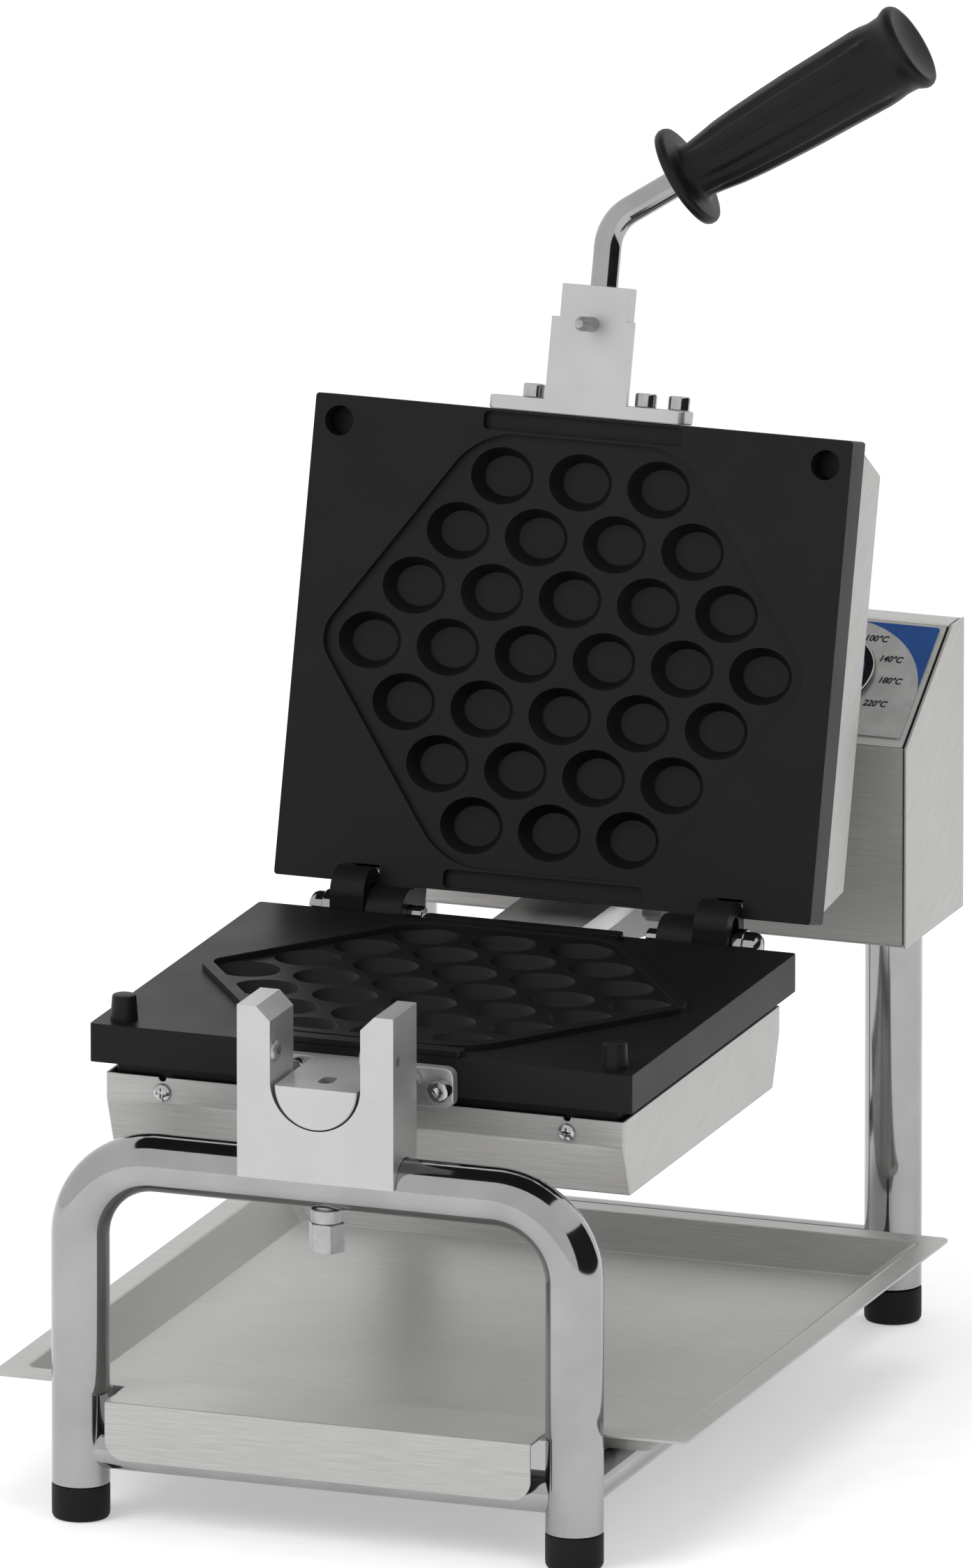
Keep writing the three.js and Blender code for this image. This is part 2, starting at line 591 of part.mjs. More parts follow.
function rearBearing() {
  const inner = REAR_SHAFT.radius + GAP;
  const outer = REAR_SHAFT.radius + BEARING.wall;
  const y0 = BOX_FRONT_Y - GAP;
  const back = BOX_FRONT_Y + BOX.sheet + BEARING.flange;
  const shape = barAlongY(BEARING.flangeRadius, y0 - BEARING.flange, y0, 0, FLIP_Z, SIDES.wide)
    .add(barAlongY(outer, y0 - BEARING.flange, back, 0, FLIP_Z, SIDES.wide))
    .subtract(barAlongY(inner, y0 - BEARING.flange - OVERRUN, back + OVERRUN, 0, FLIP_Z, SIDES.wide));
  return node("rear_bearing", shape, ALUMINIUM);
}

// Everything on the sloping panel is drawn flat: X across, Y up the slope, Z outward
function slopePanel() {
  const half = BOX_INNER_HALF - BOX.seam;
  const plate = block(-half, half, GAP, SLOPE_LENGTH - GAP, -BOX.sheet, 0);
  const deep = BOX.sheet + OVERRUN;
  const shape = plate
    .subtract(barAlongZ(THERMOSTAT.neckRadius + GAP, -deep, OVERRUN, KNOB.x, KNOB.up))
    .subtract(barAlongZ(LAMP.radius + GAP, -deep, OVERRUN, LAMP.x, LAMP.up))
    .subtract(rockerBody(GAP, -deep, OVERRUN));
  return node("slope_panel", shape, STAINLESS);
}

function dialLabel() {
  const outline = roundedBox(LABEL.leftX, BOX_INNER_HALF - LABEL.fromSide, LABEL.bottom,
    SLOPE_LENGTH - LABEL.fromTop, LABEL.corner);
  const sheet = raised(outline, GAP, GAP + LABEL.thickness);
  return node("dial_label", sheet.subtract(barAlongZ(LABEL.hole, 0, OVERRUN, KNOB.x, KNOB.up)), LABEL_FILM);
}

function thermostat() {
  const { halfWidth, depth, shaftRadius, shaftOut, neckRadius, neck } = THERMOSTAT;
  const top = -BOX.sheet - GAP;
  const shape = block(KNOB.x - halfWidth, KNOB.x + halfWidth, KNOB.up - halfWidth, KNOB.up + halfWidth,
    top - depth, top)
    .add(barAlongZ(neckRadius, top - GAP, top + neck, KNOB.x, KNOB.up))
    .add(barAlongZ(shaftRadius, top - GAP, shaftOut, KNOB.x, KNOB.up));
  return node("thermostat", shape, GREY_PLASTIC);
}

// Drawn about its own shaft, so that its group can turn it
function knob() {
  const { skirtRadius, skirtHeight, capRadius, topRadius, height, round } = KNOB;
  const body = turnedAlongZ([
    [0, 0],
    [skirtRadius, 0],
    [skirtRadius, skirtHeight - round],
    [skirtRadius - round, skirtHeight],
    [capRadius, skirtHeight],
    [topRadius, height - round],
    [topRadius - round, height],
    [0, height],
  ], 0, 0, SIDES.wide);
  const grip = block(-KNOB.gripWidth / 2, KNOB.gripWidth / 2, -topRadius + round, topRadius - round,
    height - round, height + KNOB.gripHeight);
  const pointer = block(-KNOB.pointer / 2, KNOB.pointer / 2, capRadius, skirtRadius - round,
    skirtHeight - round, skirtHeight + round);
  const hole = barAlongZ(KNOB.bore, -OVERRUN, KNOB.boreDepth, 0, 0);
  return node("knob", body.add(grip).add(pointer).subtract(hole), BLACK_PLASTIC);
}

function rockerBody(grow, z0, z1) {
  const halfX = ROCKER.width / 2 - ROCKER.flange - ROCKER.corner / 2 + grow;
  const halfY = ROCKER.height / 2 - ROCKER.flange - ROCKER.corner / 2 + grow;
  return block(ROCKER.x - halfX, ROCKER.x + halfX, ROCKER.up - halfY, ROCKER.up + halfY, z0, z1);
}

function rockerHousing() {
  const { x, up, width, height, flange, wall, bodyDepth, corner, clearance } = ROCKER;
  const frame = raised(roundedBox(x - width / 2, x + width / 2, up - height / 2, up + height / 2, corner),
    GAP, GAP + flange);
  const body = rockerBody(0, -bodyDepth, GAP + flange / 2);
  const well = rockerBody(-wall, -bodyDepth / 2, GAP + flange + clearance);
  return node("rocker_housing", frame.add(body).subtract(well), BLACK_PLASTIC);
}

// Drawn about its own pivot, pressed down on its lower half
function rockerButton() {
  const halfX = ROCKER.width / 2 - ROCKER.flange - ROCKER.corner / 2 - ROCKER.wall - ROCKER.clearance;
  const halfY = ROCKER.height / 2 - ROCKER.flange - ROCKER.corner / 2 - ROCKER.wall - ROCKER.clearance;
  const lift = ROCKER.flange + ROCKER.pivotDrop;
  const valley = new THREE.Shape();
  valley.moveTo(-halfY, 0);
  valley.lineTo(0, -ROCKER.buttonThickness);
  valley.lineTo(halfY, 0);
  valley.lineTo(halfY - ROCKER.clearance, lift + ROCKER.clearance);
  valley.lineTo(0, lift - ROCKER.clearance);
  valley.lineTo(-halfY + ROCKER.clearance, lift + ROCKER.clearance);
  return node("rocker_button", raisedAlongX(valley, -halfX, halfX), BLACK_PLASTIC);
}

function indicatorLamp() {
  const { radius, flangeRadius, flange, dome, depth, x, up } = LAMP;
  const shape = turnedAlongZ([
    [0, -depth],
    [radius, -depth],
    [radius, GAP],
    [flangeRadius, GAP],
    [flangeRadius, GAP + flange],
    [radius, GAP + flange],
    [radius * Math.SQRT1_2, GAP + flange + dome * Math.SQRT1_2],
    [0, GAP + flange + dome],
  ], x, up, SIDES.small);
  return node("indicator_lamp", shape, RED_LENS);
}

function addBox(group) {
  group.add(boxBody(), backCover(), cableInlet(), rearBearing());
  const slope = new THREE.Group();
  slope.name = "slope";
  slope.position.set(0, BOX_FRONT_Y, BOX.shoulderZ);
  slope.rotation.x = SLOPE_ANGLE;
  const turningKnob = knob();
  turningKnob.position.set(KNOB.x, KNOB.up, KNOB.lift);
  const rocker = rockerButton();
  rocker.position.set(ROCKER.x, ROCKER.up, -ROCKER.pivotDrop);
  rocker.rotation.x = ROCKER.tilt;
  slope.add(slopePanel(), dialLabel(), thermostat(), turningKnob, rockerHousing(), rocker, indicatorLamp());
  group.add(slope);
}

// Each mould half is drawn lying open: X across, Y as in the whole, Z away from its inner face
const PLATE_MIDDLE_Y = (PLATE.frontY + PLATE.backY) / 2;
const PLATE_HALF_DEPTH = (PLATE.backY - PLATE.frontY) / 2;
const BASE_END = PLATE.slab + PLATE.base;
const LOWER = { side: -1, drop: JOURNAL.drop, flipLevel: LOWER_FACE_Z - FLIP_Z };
const UPPER = { side: 1, drop: 0, flipLevel: FLIP_Z - UPPER_FACE_Z };

function plateOutline(inset) {
  return roundedBox(-PLATE.halfWidth + inset, PLATE.halfWidth - inset, PLATE.frontY + inset,
    PLATE.backY - inset, PLATE.corner);
}

function hexagonOutline(inset) {
  const halfHeight = PLATE_HALF_DEPTH - RIM.fromEnd - inset;
  const vertexX = PLATE.halfWidth - RIM.fromSide - inset * Math.hypot(1, RIM.slant);
  const topX = vertexX - RIM.slant * halfHeight;
  const low = PLATE_MIDDLE_Y - halfHeight;
  const high = PLATE_MIDDLE_Y + halfHeight;
  const corner = RIM.corner - inset;
  const sideCorner = RIM.sideCorner - inset;
  return roundedOutline([[-topX, low], [topX, low], [vertexX, PLATE_MIDDLE_Y], [topX, high], [-topX, high],
    [-vertexX, PLATE_MIDDLE_Y]], [corner, corner, sideCorner]);
}

function edgeStrips(grow, z0, z1) {
  const reach = PLATE_HALF_DEPTH - STRIP.fromEdge;
  const halfLength = STRIP.halfLength + grow;
  const strip = (y) => block(-halfLength, halfLength, y - grow, y + STRIP.width + grow, z0, z1);
  return strip(PLATE_MIDDLE_Y - reach).add(strip(PLATE_MIDDLE_Y + reach - STRIP.width));
}

// Cutters for the oval pockets, opening at the given level
function pocketCutters(level) {
  const { rows, fromSide, fromEnd, mouth, floor, depth, flattenShare } = POCKET;
  const pitchX = 2 * (PLATE.halfWidth - fromSide) / (Math.max(...rows) - 1);
  const pitchY = 2 * (PLATE_HALF_DEPTH - fromEnd) / (rows.length - 1);
  const cutters = [];
  rows.forEach((count, row) => {
    const y = PLATE_MIDDLE_Y + (row - (rows.length - 1) / 2) * pitchY;
    for (let column = 0; column < count; column += 1) {
      const x = (column - (count - 1) / 2) * pitchX;
      const place = new THREE.Matrix4().makeTranslation(x, y, level)
        .multiply(new THREE.Matrix4().makeScale(1, flattenShare, 1))
        .multiply(new THREE.Matrix4().makeRotationX(QUARTER_TURN));
      cutters.push(turned([
        [0, -OVERRUN],
        [mouth, -OVERRUN],
        [mouth, 0],
        [floor, depth],
        [0, depth],
      ], SIDES.pocket, place));
    }
  });
  return cutters;
}

function cutAll(shape, cutters) {
  return cutters.reduce((left, cutter) => left.subtract(cutter), shape);
}

function studPlaces() {
  const x = PLATE.halfWidth - STUD.fromSide;
  const y = PLATE.frontY + STUD.fromFront;
  return [[-x, y], [x, y]];
}

function capScrewPlaces(half) {
  const inner = half.drop + CAP_SCREW.innerLevel;
  const outer = half.drop + CAP_SCREW.outerLevel;
  return [[-CAP_SCREW.innerX, inner], [CAP_SCREW.innerX, inner], [half.side * CAP_SCREW.outerX, outer]];
}

// Slab and base with the screw holes and notches that both plates have
function plateBlank(half) {
  const slab = raised(plateOutline(0), 0, PLATE.slab);
  const base = raised(plateOutline(PLATE.baseInset), PLATE.slab - OVERRUN, BASE_END);
  const bracketHoles = capScrewPlaces(half).map(([x, z]) => barAlongY(CAP_SCREW.shankRadius + GAP,
    PLATE.frontY - OVERRUN, PLATE.frontY + CAP_SCREW.seat + GAP, x, z, SIDES.tiny));
  const baseFront = PLATE.frontY + PLATE.baseInset;
  const casingHoles = [-CASING_SCREW.x, CASING_SCREW.x].flatMap((x) => [
    barAlongY(CASING_SCREW.shankRadius + GAP, baseFront - OVERRUN,
      PLATE.frontY + CASING.inset + CASING_SCREW.shank + GAP, x, CASING_SCREW.level, SIDES.tiny),
    barAlongY(CASING_SCREW.notch, PLATE.frontY - OVERRUN, baseFront, x, PLATE.slab, SIDES.tiny),
  ]);
  return cutAll(slab.add(base), [...bracketHoles, ...casingHoles]);
}

function lugs() {
  const axis = LOWER_FACE_Z - HINGE.z;
  const top = axis - LUG.slotRise;
  const outline = new THREE.Shape();
  outline.moveTo(HINGE.y - LUG.radius, top);
  outline.absarc(HINGE.y, top, LUG.radius, HALF_TURN, 2 * HALF_TURN, false);
  outline.absarc(HINGE.y, axis, LUG.radius, 0, QUARTER_TURN, false);
  outline.lineTo(PLATE.backY - OVERRUN, PLATE.slab);
  outline.lineTo(PLATE.backY - OVERRUN, axis);
  outline.lineTo(HINGE.y - LUG.radius, axis);
  const half = HINGE_PIN.radius + GAP;
  const slot = new THREE.Path();
  slot.absarc(HINGE.y, top, half, HALF_TURN, 2 * HALF_TURN, false);
  slot.absarc(HINGE.y, axis, half, 0, HALF_TURN, false);
  outline.holes.push(slot);
  const lug = (x0, x1) => raisedAlongX(outline, x0, x1, SIDES.small);
  return lug(LUG.innerX, LUG.outerX).add(lug(-LUG.outerX, -LUG.innerX));
}

function lowerPlate() {
  const sink = OVERRUN;
  const rim = raised(hexagonOutline(0), -RIM.height, sink)
    .subtract(raised(hexagonOutline(RIM.band), -RIM.height - OVERRUN, 0));
  const studs = studPlaces().map(([x, y]) => barAlongZ(STUD.topRadius, -STUD.height, sink, x, y,
    SIDES.small, STUD.baseRadius));
  const raisedParts = studs.reduce((sum, stud) => sum.add(stud), rim.add(edgeStrips(0, -RIM.height, sink)));
  const shape = plateBlank(LOWER).add(raisedParts).add(lugs());
  return node("lower_plate", cutAll(shape, pocketCutters(0)), COATED_CAST);
}

function barrels() {
  const axis = HINGE.z - UPPER_FACE_Z;
  const barrel = (x0, x1) => barAlongX(BARREL.radius, x0, x1, HINGE.y, axis, SIDES.tube)
    .add(block(x0, x1, PLATE.backY - OVERRUN, HINGE.y, 0, BARREL.armLevel))
    .subtract(barAlongX(HINGE_PIN.radius + GAP, x0 - OVERRUN, x1 + OVERRUN, HINGE.y, axis, SIDES.small));
  return barrel(BARREL.innerX, BARREL.outerX).add(barrel(-BARREL.outerX, -BARREL.innerX));
}

function upperPlate() {
  const recess = raised(hexagonOutline(-RECESS.side), -OVERRUN, RECESS.depth)
    .add(edgeStrips(RECESS.side, -OVERRUN, RECESS.depth));
  const studHoles = studPlaces().map(([x, y]) => barAlongZ(STUD.baseRadius + RECESS.side, -OVERRUN,
    STUD.height + GAP, x, y, SIDES.small));
  const lugNotches = [-1, 1].map((side) => {
    const ends = [side * (LUG.innerX - LUG.clearance), side * (LUG.outerX + LUG.clearance)];
    return block(Math.min(...ends), Math.max(...ends), PLATE.backY - LUG.notch, HINGE.y,
      -OVERRUN, PLATE.slab + OVERRUN);
  });
  const shape = cutAll(plateBlank(UPPER), [recess, ...studHoles, ...lugNotches,
    ...pocketCutters(RECESS.depth)]);
  return node("upper_plate", shape.add(barrels()), COATED_CAST);
}

// Casing: a straight band, then its front and back lean inwards
function casingProfile(inset) {
  const front = PLATE.frontY + CASING.inset + inset;
  const back = PLATE.backY - CASING.inset - inset;
  const turn = CASING.start + CASING.band;
  const start = inset > 0 ? CASING.start - OVERRUN : CASING.start;
  const top = CASING.total - inset;
  const shape = new THREE.Shape();
  shape.moveTo(front, start);
  shape.lineTo(back, start);
  shape.lineTo(back, turn);
  shape.lineTo(back - CASING.slopeIn, top);
  shape.lineTo(front + CASING.slopeIn, top);
  shape.lineTo(front, turn);
  return shape;
}

function casing(name, cutters = []) {
  const halfX = PLATE.halfWidth - CASING.inset;
  const innerX = halfX - CASING.sheet;
  const front = PLATE.frontY + CASING.inset;
  const holes = [-CASING_SCREW.x, CASING_SCREW.x].map((x) => barAlongY(CASING_SCREW.shankRadius + GAP,
    front - OVERRUN, front + CASING.sheet + OVERRUN, x, CASING_SCREW.level, SIDES.tiny));
  const shell = raisedAlongX(casingProfile(0), -halfX, halfX)
    .subtract(raisedAlongX(casingProfile(CASING.sheet), -innerX, innerX));
  return node(name, cutAll(shell, [...holes, ...cutters]), STAINLESS);
}

// Pan-head screw with a cross slot, head towards the front
function casingScrew(name, x) {
  const { level, headRadius, headHeight, shankRadius, shank } = CASING_SCREW;
  const { crossWidth, crossLength, crossDepth } = CASING_SCREW;
  const seat = PLATE.frontY + CASING.inset - GAP;
  const tip = seat - headHeight;
  const place = new THREE.Matrix4().makeTranslation(x, 0, level);
  const shape = turned([
    [0, tip],
    [headRadius * Math.SQRT1_2, tip],
    [headRadius, tip + headHeight / 2],
    [headRadius, seat],
    [shankRadius, seat],
    [shankRadius, seat + shank],
    [0, seat + shank],
  ], SIDES.tiny, place);
  const across = block(x - crossLength / 2, x + crossLength / 2, tip - OVERRUN, tip + crossDepth,
    level - crossWidth / 2, level + crossWidth / 2);
  const upright = block(x - crossWidth / 2, x + crossWidth / 2, tip - OVERRUN, tip + crossDepth,
    level - crossLength / 2, level + crossLength / 2);
  return node(name, shape.subtract(across).subtract(upright), ZINC);
}

function heater(name) {
  const { halfX, halfY, corner, ends, radius, offBase } = HEATER;
  const z = BASE_END + offBase + radius;
  const near = PLATE_MIDDLE_Y + halfY;
  const far = PLATE_MIDDLE_Y - halfY;
  const path = [point(-ends, near, z), point(-halfX, near, z), point(-halfX, far, z), point(halfX, far, z),
    point(halfX, near, z), point(ends, near, z)];
  const shape = pipe(roundedStations(path, corner, SIDES.corner), radius, 0, SIDES.tiny);
  return node(name, shape, ELEMENT_STEEL);
}

// Brackets: a flange on the plate's front edge and a half-round bar on the turning axis
function bracketFlange(half) {
  const outline = roundedBox(-BRACKET.halfWidth, BRACKET.halfWidth, half.drop, half.drop + BRACKET.depth,
    BRACKET.corner);
  const seat = PLATE.frontY - GAP;
  return raisedAlongY(outline, seat - BRACKET.thickness, seat);
}

function halfRound(half, y0, y1) {
  const radius = BRACKET.journalRadius;
  const above = block(-radius - OVERRUN, radius + OVERRUN, y0 - OVERRUN, y1 + OVERRUN,
    half.drop - radius - OVERRUN, half.drop);
  return barAlongY(radius, y0, y1, 0, half.drop, SIDES.wide).subtract(above);
}

// The front end is turned down to pass the screws in the cradle's ears
function reliefRing(half, y0, y1) {
  const outer = BRACKET.reliefRadius + 2 * OVERRUN;
  return barAlongY(outer, y0, y1, 0, half.flipLevel, SIDES.wide)
    .subtract(barAlongY(BRACKET.reliefRadius, y0 - OVERRUN, y1 + OVERRUN, 0, half.flipLevel, SIDES.wide));
}

function bracketHoles(half) {
  const seat = PLATE.frontY - GAP;
  return capScrewPlaces(half).map(([x, z]) => barAlongY(CAP_SCREW.shankRadius + GAP,
    seat - BRACKET.thickness - OVERRUN, seat + OVERRUN, x, z, SIDES.tiny));
}

function lowerBracket() {
  const { slotWidth, slotLength, slotDepth } = JOURNAL;
  const bar = halfRound(LOWER, CRADLE_FRONT_Y, PLATE.frontY - GAP - BRACKET.thickness / 2);
  const slot = raised(roundedBox(-slotWidth / 2, slotWidth / 2, SLOT_Y - slotLength / 2,
    SLOT_Y + slotLength / 2, slotWidth / 2), LOWER.drop - OVERRUN, LOWER.drop + slotDepth);
  const relief = reliefRing(LOWER, CRADLE_FRONT_Y - OVERRUN, CRADLE_FRONT_Y + BRACKET.reliefLength);
  const shape = cutAll(bracketFlange(LOWER).add(bar), [slot, relief, ...bracketHoles(LOWER)]);
  return node("lower_bracket", shape, ALUMINIUM);
}

function upperBracket() {
  const narrowFrom = STEM_END_Y + STEM.narrowLength;
  const bar = halfRound(UPPER, STEM_END_Y, PLATE.frontY - GAP - BRACKET.thickness / 2);
  const wide = BRACKET.journalRadius + OVERRUN;
  const cheeks = [-1, 1].map((side) => {
    const [x0, x1] = [side * STEM.narrowHalfWidth, side * wide].sort((a, b) => a - b);
    return block(x0, x1, STEM_END_Y - OVERRUN, narrowFrom, -OVERRUN, wide);
  });
  const relief = reliefRing(UPPER, STEM_END_Y - OVERRUN, STEM_END_Y + BRACKET.reliefLength);
  const rodHole = barAlongY(HANDLE.radius + GAP, STEM_END_Y - OVERRUN, STEM_END_Y + HANDLE.insert + GAP, 0,
    HANDLE.level, SIDES.tube);
  const pinHole = barAlongZ(LOCATING_PIN.radius + GAP, -OVERRUN, LOCATING_PIN.seat + GAP, 0,
    SLOT_Y);
  const shape = cutAll(bracketFlange(UPPER).add(bar), [...cheeks, relief, rodHole, pinHole,
    ...bracketHoles(UPPER)]);
  return node("upper_bracket", shape, ALUMINIUM);
}

function locatingPin() {
  const { radius, proud, seat, tip } = LOCATING_PIN;
  const shape = turnedAlongZ([
    [0, -proud],
    [radius - tip, -proud],
    [radius, tip - proud],
    [radius, seat],
    [0, seat],
  ], 0, SLOT_Y, SIDES.small);
  return node("locating_pin", shape, ZINC);
}

function capScrew(name, x, level) {
  const { headRadius, headHeight, socketRadius, socketDepth, shankRadius, seat } = CAP_SCREW;
  const flangeFront = PLATE.frontY - GAP - BRACKET.thickness;
  const headSeat = flangeFront - GAP;
  const tip = headSeat - headHeight;
  const shape = barAlongY(headRadius, tip, headSeat, x, level)
    .add(barAlongY(shankRadius, headSeat - GAP, PLATE.frontY + seat, x, level, SIDES.tiny))
    .subtract(barAlongY(socketRadius, tip - OVERRUN, tip + socketDepth, x, level, SIDES.hexagon));
  return node(name, shape, ZINC);
}

function addScrews(group, half, label) {
  const names = ["left", "right", "outer"];
  capScrewPlaces(half).forEach(([x, level], i) => {
    group.add(capScrew(`${label}_bracket_screw_${names[i]}`, x, level));
  });
  group.add(casingScrew(`${label}_casing_screw_left`, -CASING_SCREW.x));
  group.add(casingScrew(`${label}_casing_screw_right`, CASING_SCREW.x));
}

// Shaft at the back, drawn about the turning axis
function rearShaft() {
  const { radius, flatDrop, fullLength, intoBox, bore, boreLevel, boreStartY } = REAR_SHAFT;
  const endY = BOX_FRONT_Y + intoBox;
  const fullFromY = endY - fullLength;
  const y0 = PLATE.backY + GAP;
  const flangeTop = LOWER_FACE_Z - LOWER.drop - FLIP_Z;
  const flange = raisedAlongY(roundedBox(-BRACKET.halfWidth, BRACKET.halfWidth, flangeTop - BRACKET.depth,
    flangeTop, BRACKET.corner), y0, y0 + BRACKET.thickness);
  const bar = barAlongY(radius, y0 + BRACKET.thickness / 2, endY, 0, 0, SIDES.wide);
  const flat = block(-radius - OVERRUN, radius + OVERRUN, y0 + BRACKET.thickness, fullFromY, -flatDrop,
    radius + OVERRUN);
  const lip = block(-radius - OVERRUN, radius + OVERRUN, y0 - OVERRUN, y0 + BRACKET.thickness, flangeTop,
    radius + OVERRUN);
  const wireBore = barAlongY(bore, boreStartY, endY + OVERRUN, 0, boreLevel, SIDES.tiny);
  return node("rear_shaft", cutAll(flange.add(bar), [flat, lip, wireBore]), ALUMINIUM);
}

// Hinge pins, drawn about the hinge axis
function hingePin(name, side) {
  const { radius, innerX, collarX, collarRadius, headX, headRadius, endX } = HINGE_PIN;
  const dome = (endX - headX) / 2;
  const shape = turned([
    [0, innerX],
    [radius, innerX],
    [radius, collarX],
    [collarRadius, collarX],
    [collarRadius, headX],
    [headRadius, headX],
    [headRadius, endX - dome],
    [headRadius * Math.SQRT1_2, endX],
    [0, endX],
  ], SIDES.small, new THREE.Matrix4().makeRotationZ(-side * QUARTER_TURN));
  return node(name, shape, CHROME);
}

function lidGlandPlace() {
  return new THREE.Matrix4().makeTranslation(LID_GLAND.x, PLATE.backY - CASING.inset, LID_GLAND.level);
}

function lidGland() {
  const { radius, inside, outside, bore, round } = LID_GLAND;
  const shape = turned([
    [bore, -inside],
    [radius, -inside],
    [radius, outside - round],
    [radius - round, outside],
    [bore, outside],
    [bore, -inside],
  ], SIDES.small, lidGlandPlace());
  return node("lid_cable_gland", shape, GREY_PLASTIC);
}

function lidGlandHole() {
  const reach = LID_GLAND.inside + OVERRUN;
  const radius = LID_GLAND.radius + GAP;
  const hole = new THREE.CylinderGeometry(radius, radius, 2 * reach, SIDES.small);
  return solid(hole.applyMatrix4(lidGlandPlace()));
}

// Handle
function handleCorner() {
  return point(0, STEM_END_Y - HANDLE.straight, HANDLE.level);
}

function handleDirection() {
  const bend = THREE.MathUtils.degToRad(HANDLE.bendDegrees);
  return point(Math.sin(bend), -Math.cos(bend), 0);
}

function handleRod() {
  const start = point(0, STEM_END_Y + HANDLE.insert, HANDLE.level);
  const end = handleCorner().addScaledVector(handleDirection(), HANDLE.toGuard + HANDLE.inGrip);
  const path = roundedStations([start, handleCorner(), end], HANDLE.bendRadius);
  return node("handle_rod", pipe(path, HANDLE.radius, 0), CHROME);
}

// Drawn upright about its own axis, guard at the foot
function handleGrip() {
  const { length, guardRadius, guardThickness, startRadius, wideRadius, neckRadius, endRadius, edge } = GRIP;
  const body = turned([
    [0, 0],
    [guardRadius - edge, 0],
    [guardRadius, edge],
    [guardRadius, guardThickness - edge],
    [guardRadius - edge, guardThickness],
    [startRadius, guardThickness + edge],
    [startRadius, GRIP.fluteStart],
    [(startRadius + wideRadius) / 2, length * GRIP.middleShare],
    [wideRadius, length * GRIP.wideShare],
    [neckRadius, length - 2 * guardThickness - edge],
    [endRadius, length - guardThickness],
    [endRadius - edge, length - edge],
    [endRadius / 2, length],
    [0, length],
  ], SIDES.tube);
  const flutes = [];
  for (let i = 0; i < GRIP.flutes; i += 1) {
    const lean = Math.atan2(wideRadius - startRadius, GRIP.fluteEnd - GRIP.fluteStart);
    const groove = new THREE.CylinderGeometry(GRIP.fluteRadius, GRIP.fluteRadius,
      GRIP.fluteEnd - GRIP.fluteStart, SIDES.hexagon);
    groove.rotateZ(-lean);
    groove.translate((startRadius + wideRadius) / 2 + GRIP.fluteOut,
      (GRIP.fluteStart + GRIP.fluteEnd) / 2, 0);
    groove.rotateY(i * 2 * HALF_TURN / GRIP.flutes);
    flutes.push(solid(groove));
  }
  const bore = solid(new THREE.CylinderGeometry(HANDLE.radius + GAP, HANDLE.radius + GAP,
    HANDLE.inGrip + GAP + OVERRUN, SIDES.small).translate(0, (HANDLE.inGrip + GAP - OVERRUN) / 2, 0));
  return node("handle_grip", cutAll(body, [...flutes, bore]), BLACK_PLASTIC);
}

function addHandle(half) {
  const grip = handleGrip();
  grip.position.copy(handleCorner().addScaledVector(handleDirection(), HANDLE.toGuard));
  grip.rotation.z = THREE.MathUtils.degToRad(HANDLE.bendDegrees) - HALF_TURN;
  half.add(handleRod(), grip);
}

// The lid is drawn closed and swung open about its hinge
function lid() {
  const swinging = new THREE.Group();
  swinging.name = "lid";
  swinging.position.set(0, HINGE.y, HINGE.z - FLIP_Z);
  swinging.rotation.x = -LID_OPEN;
  const half = new THREE.Group();
  half.name = "upper_half";
  half.position.set(0, -HINGE.y, UPPER_FACE_Z - HINGE.z);
  half.add(upperPlate(), casing("upper_casing", [lidGlandHole()]), heater("upper_heater"), upperBracket());
  half.add(locatingPin(), lidGland());
  addScrews(half, UPPER, "upper");
  addHandle(half);
  swinging.add(half, hingePin("hinge_pin_left", -1), hingePin("hinge_pin_right", 1));
  return swinging;
}

function mould() {
  const turning = new THREE.Group();
  turning.name = "mould";
  turning.position.z = FLIP_Z;
  const half = new THREE.Group();
  half.name = "lower_half";
  half.position.z = LOWER_FACE_Z - FLIP_Z;
  half.rotation.y = HALF_TURN;
  half.add(lowerPlate(), casing("lower_casing"), heater("lower_heater"), lowerBracket());
  addScrews(half, LOWER, "lower");
  turning.add(half, rearShaft(), lid());
  return turning;
}

// The origin is on the floor, midway between the cradle's front and the cable inlet's back end
function wholeMachine() {
  const machine = new THREE.Group();
  machine.name = "bubble_waffle_maker";
  const backEnd = BOX_BACK_Y + GAP + BOX.sheet + GAP + GLAND.outside;
  machine.position.y = -(CRADLE_FRONT_Y + backEnd) / 2;
  addStand(machine);
  machine.add(dripTray(), cradleBlock(), cradleBolt());
  machine.add(earScrew("ear_screw_left", -1), earScrew("ear_screw_right", 1));
  addBox(machine);
  machine.add(mould());
  return machine;
}

export default wholeMachine();
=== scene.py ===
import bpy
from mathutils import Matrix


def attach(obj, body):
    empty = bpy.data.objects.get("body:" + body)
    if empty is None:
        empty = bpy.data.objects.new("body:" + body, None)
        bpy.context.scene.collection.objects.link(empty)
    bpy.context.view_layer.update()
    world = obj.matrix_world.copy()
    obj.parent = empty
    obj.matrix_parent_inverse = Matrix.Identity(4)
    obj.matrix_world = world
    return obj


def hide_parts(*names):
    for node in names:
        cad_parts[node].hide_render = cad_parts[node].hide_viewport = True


bl_info = {
    "name": "Bubble waffle maker",
    "version": (1, 0, 0),
    "blender": (4, 5, 0),
    "location": "3D View > Sidebar > Waffle maker",
    "description": "Builds a turning bubble waffle iron on its stand round a packed frame",
    "category": "Add Mesh",
}

import math
from types import SimpleNamespace

import bmesh
import bpy
from bpy.props import FloatProperty, FloatVectorProperty, PointerProperty
from bpy.types import Operator, Panel, PropertyGroup
from mathutils import Matrix, Vector

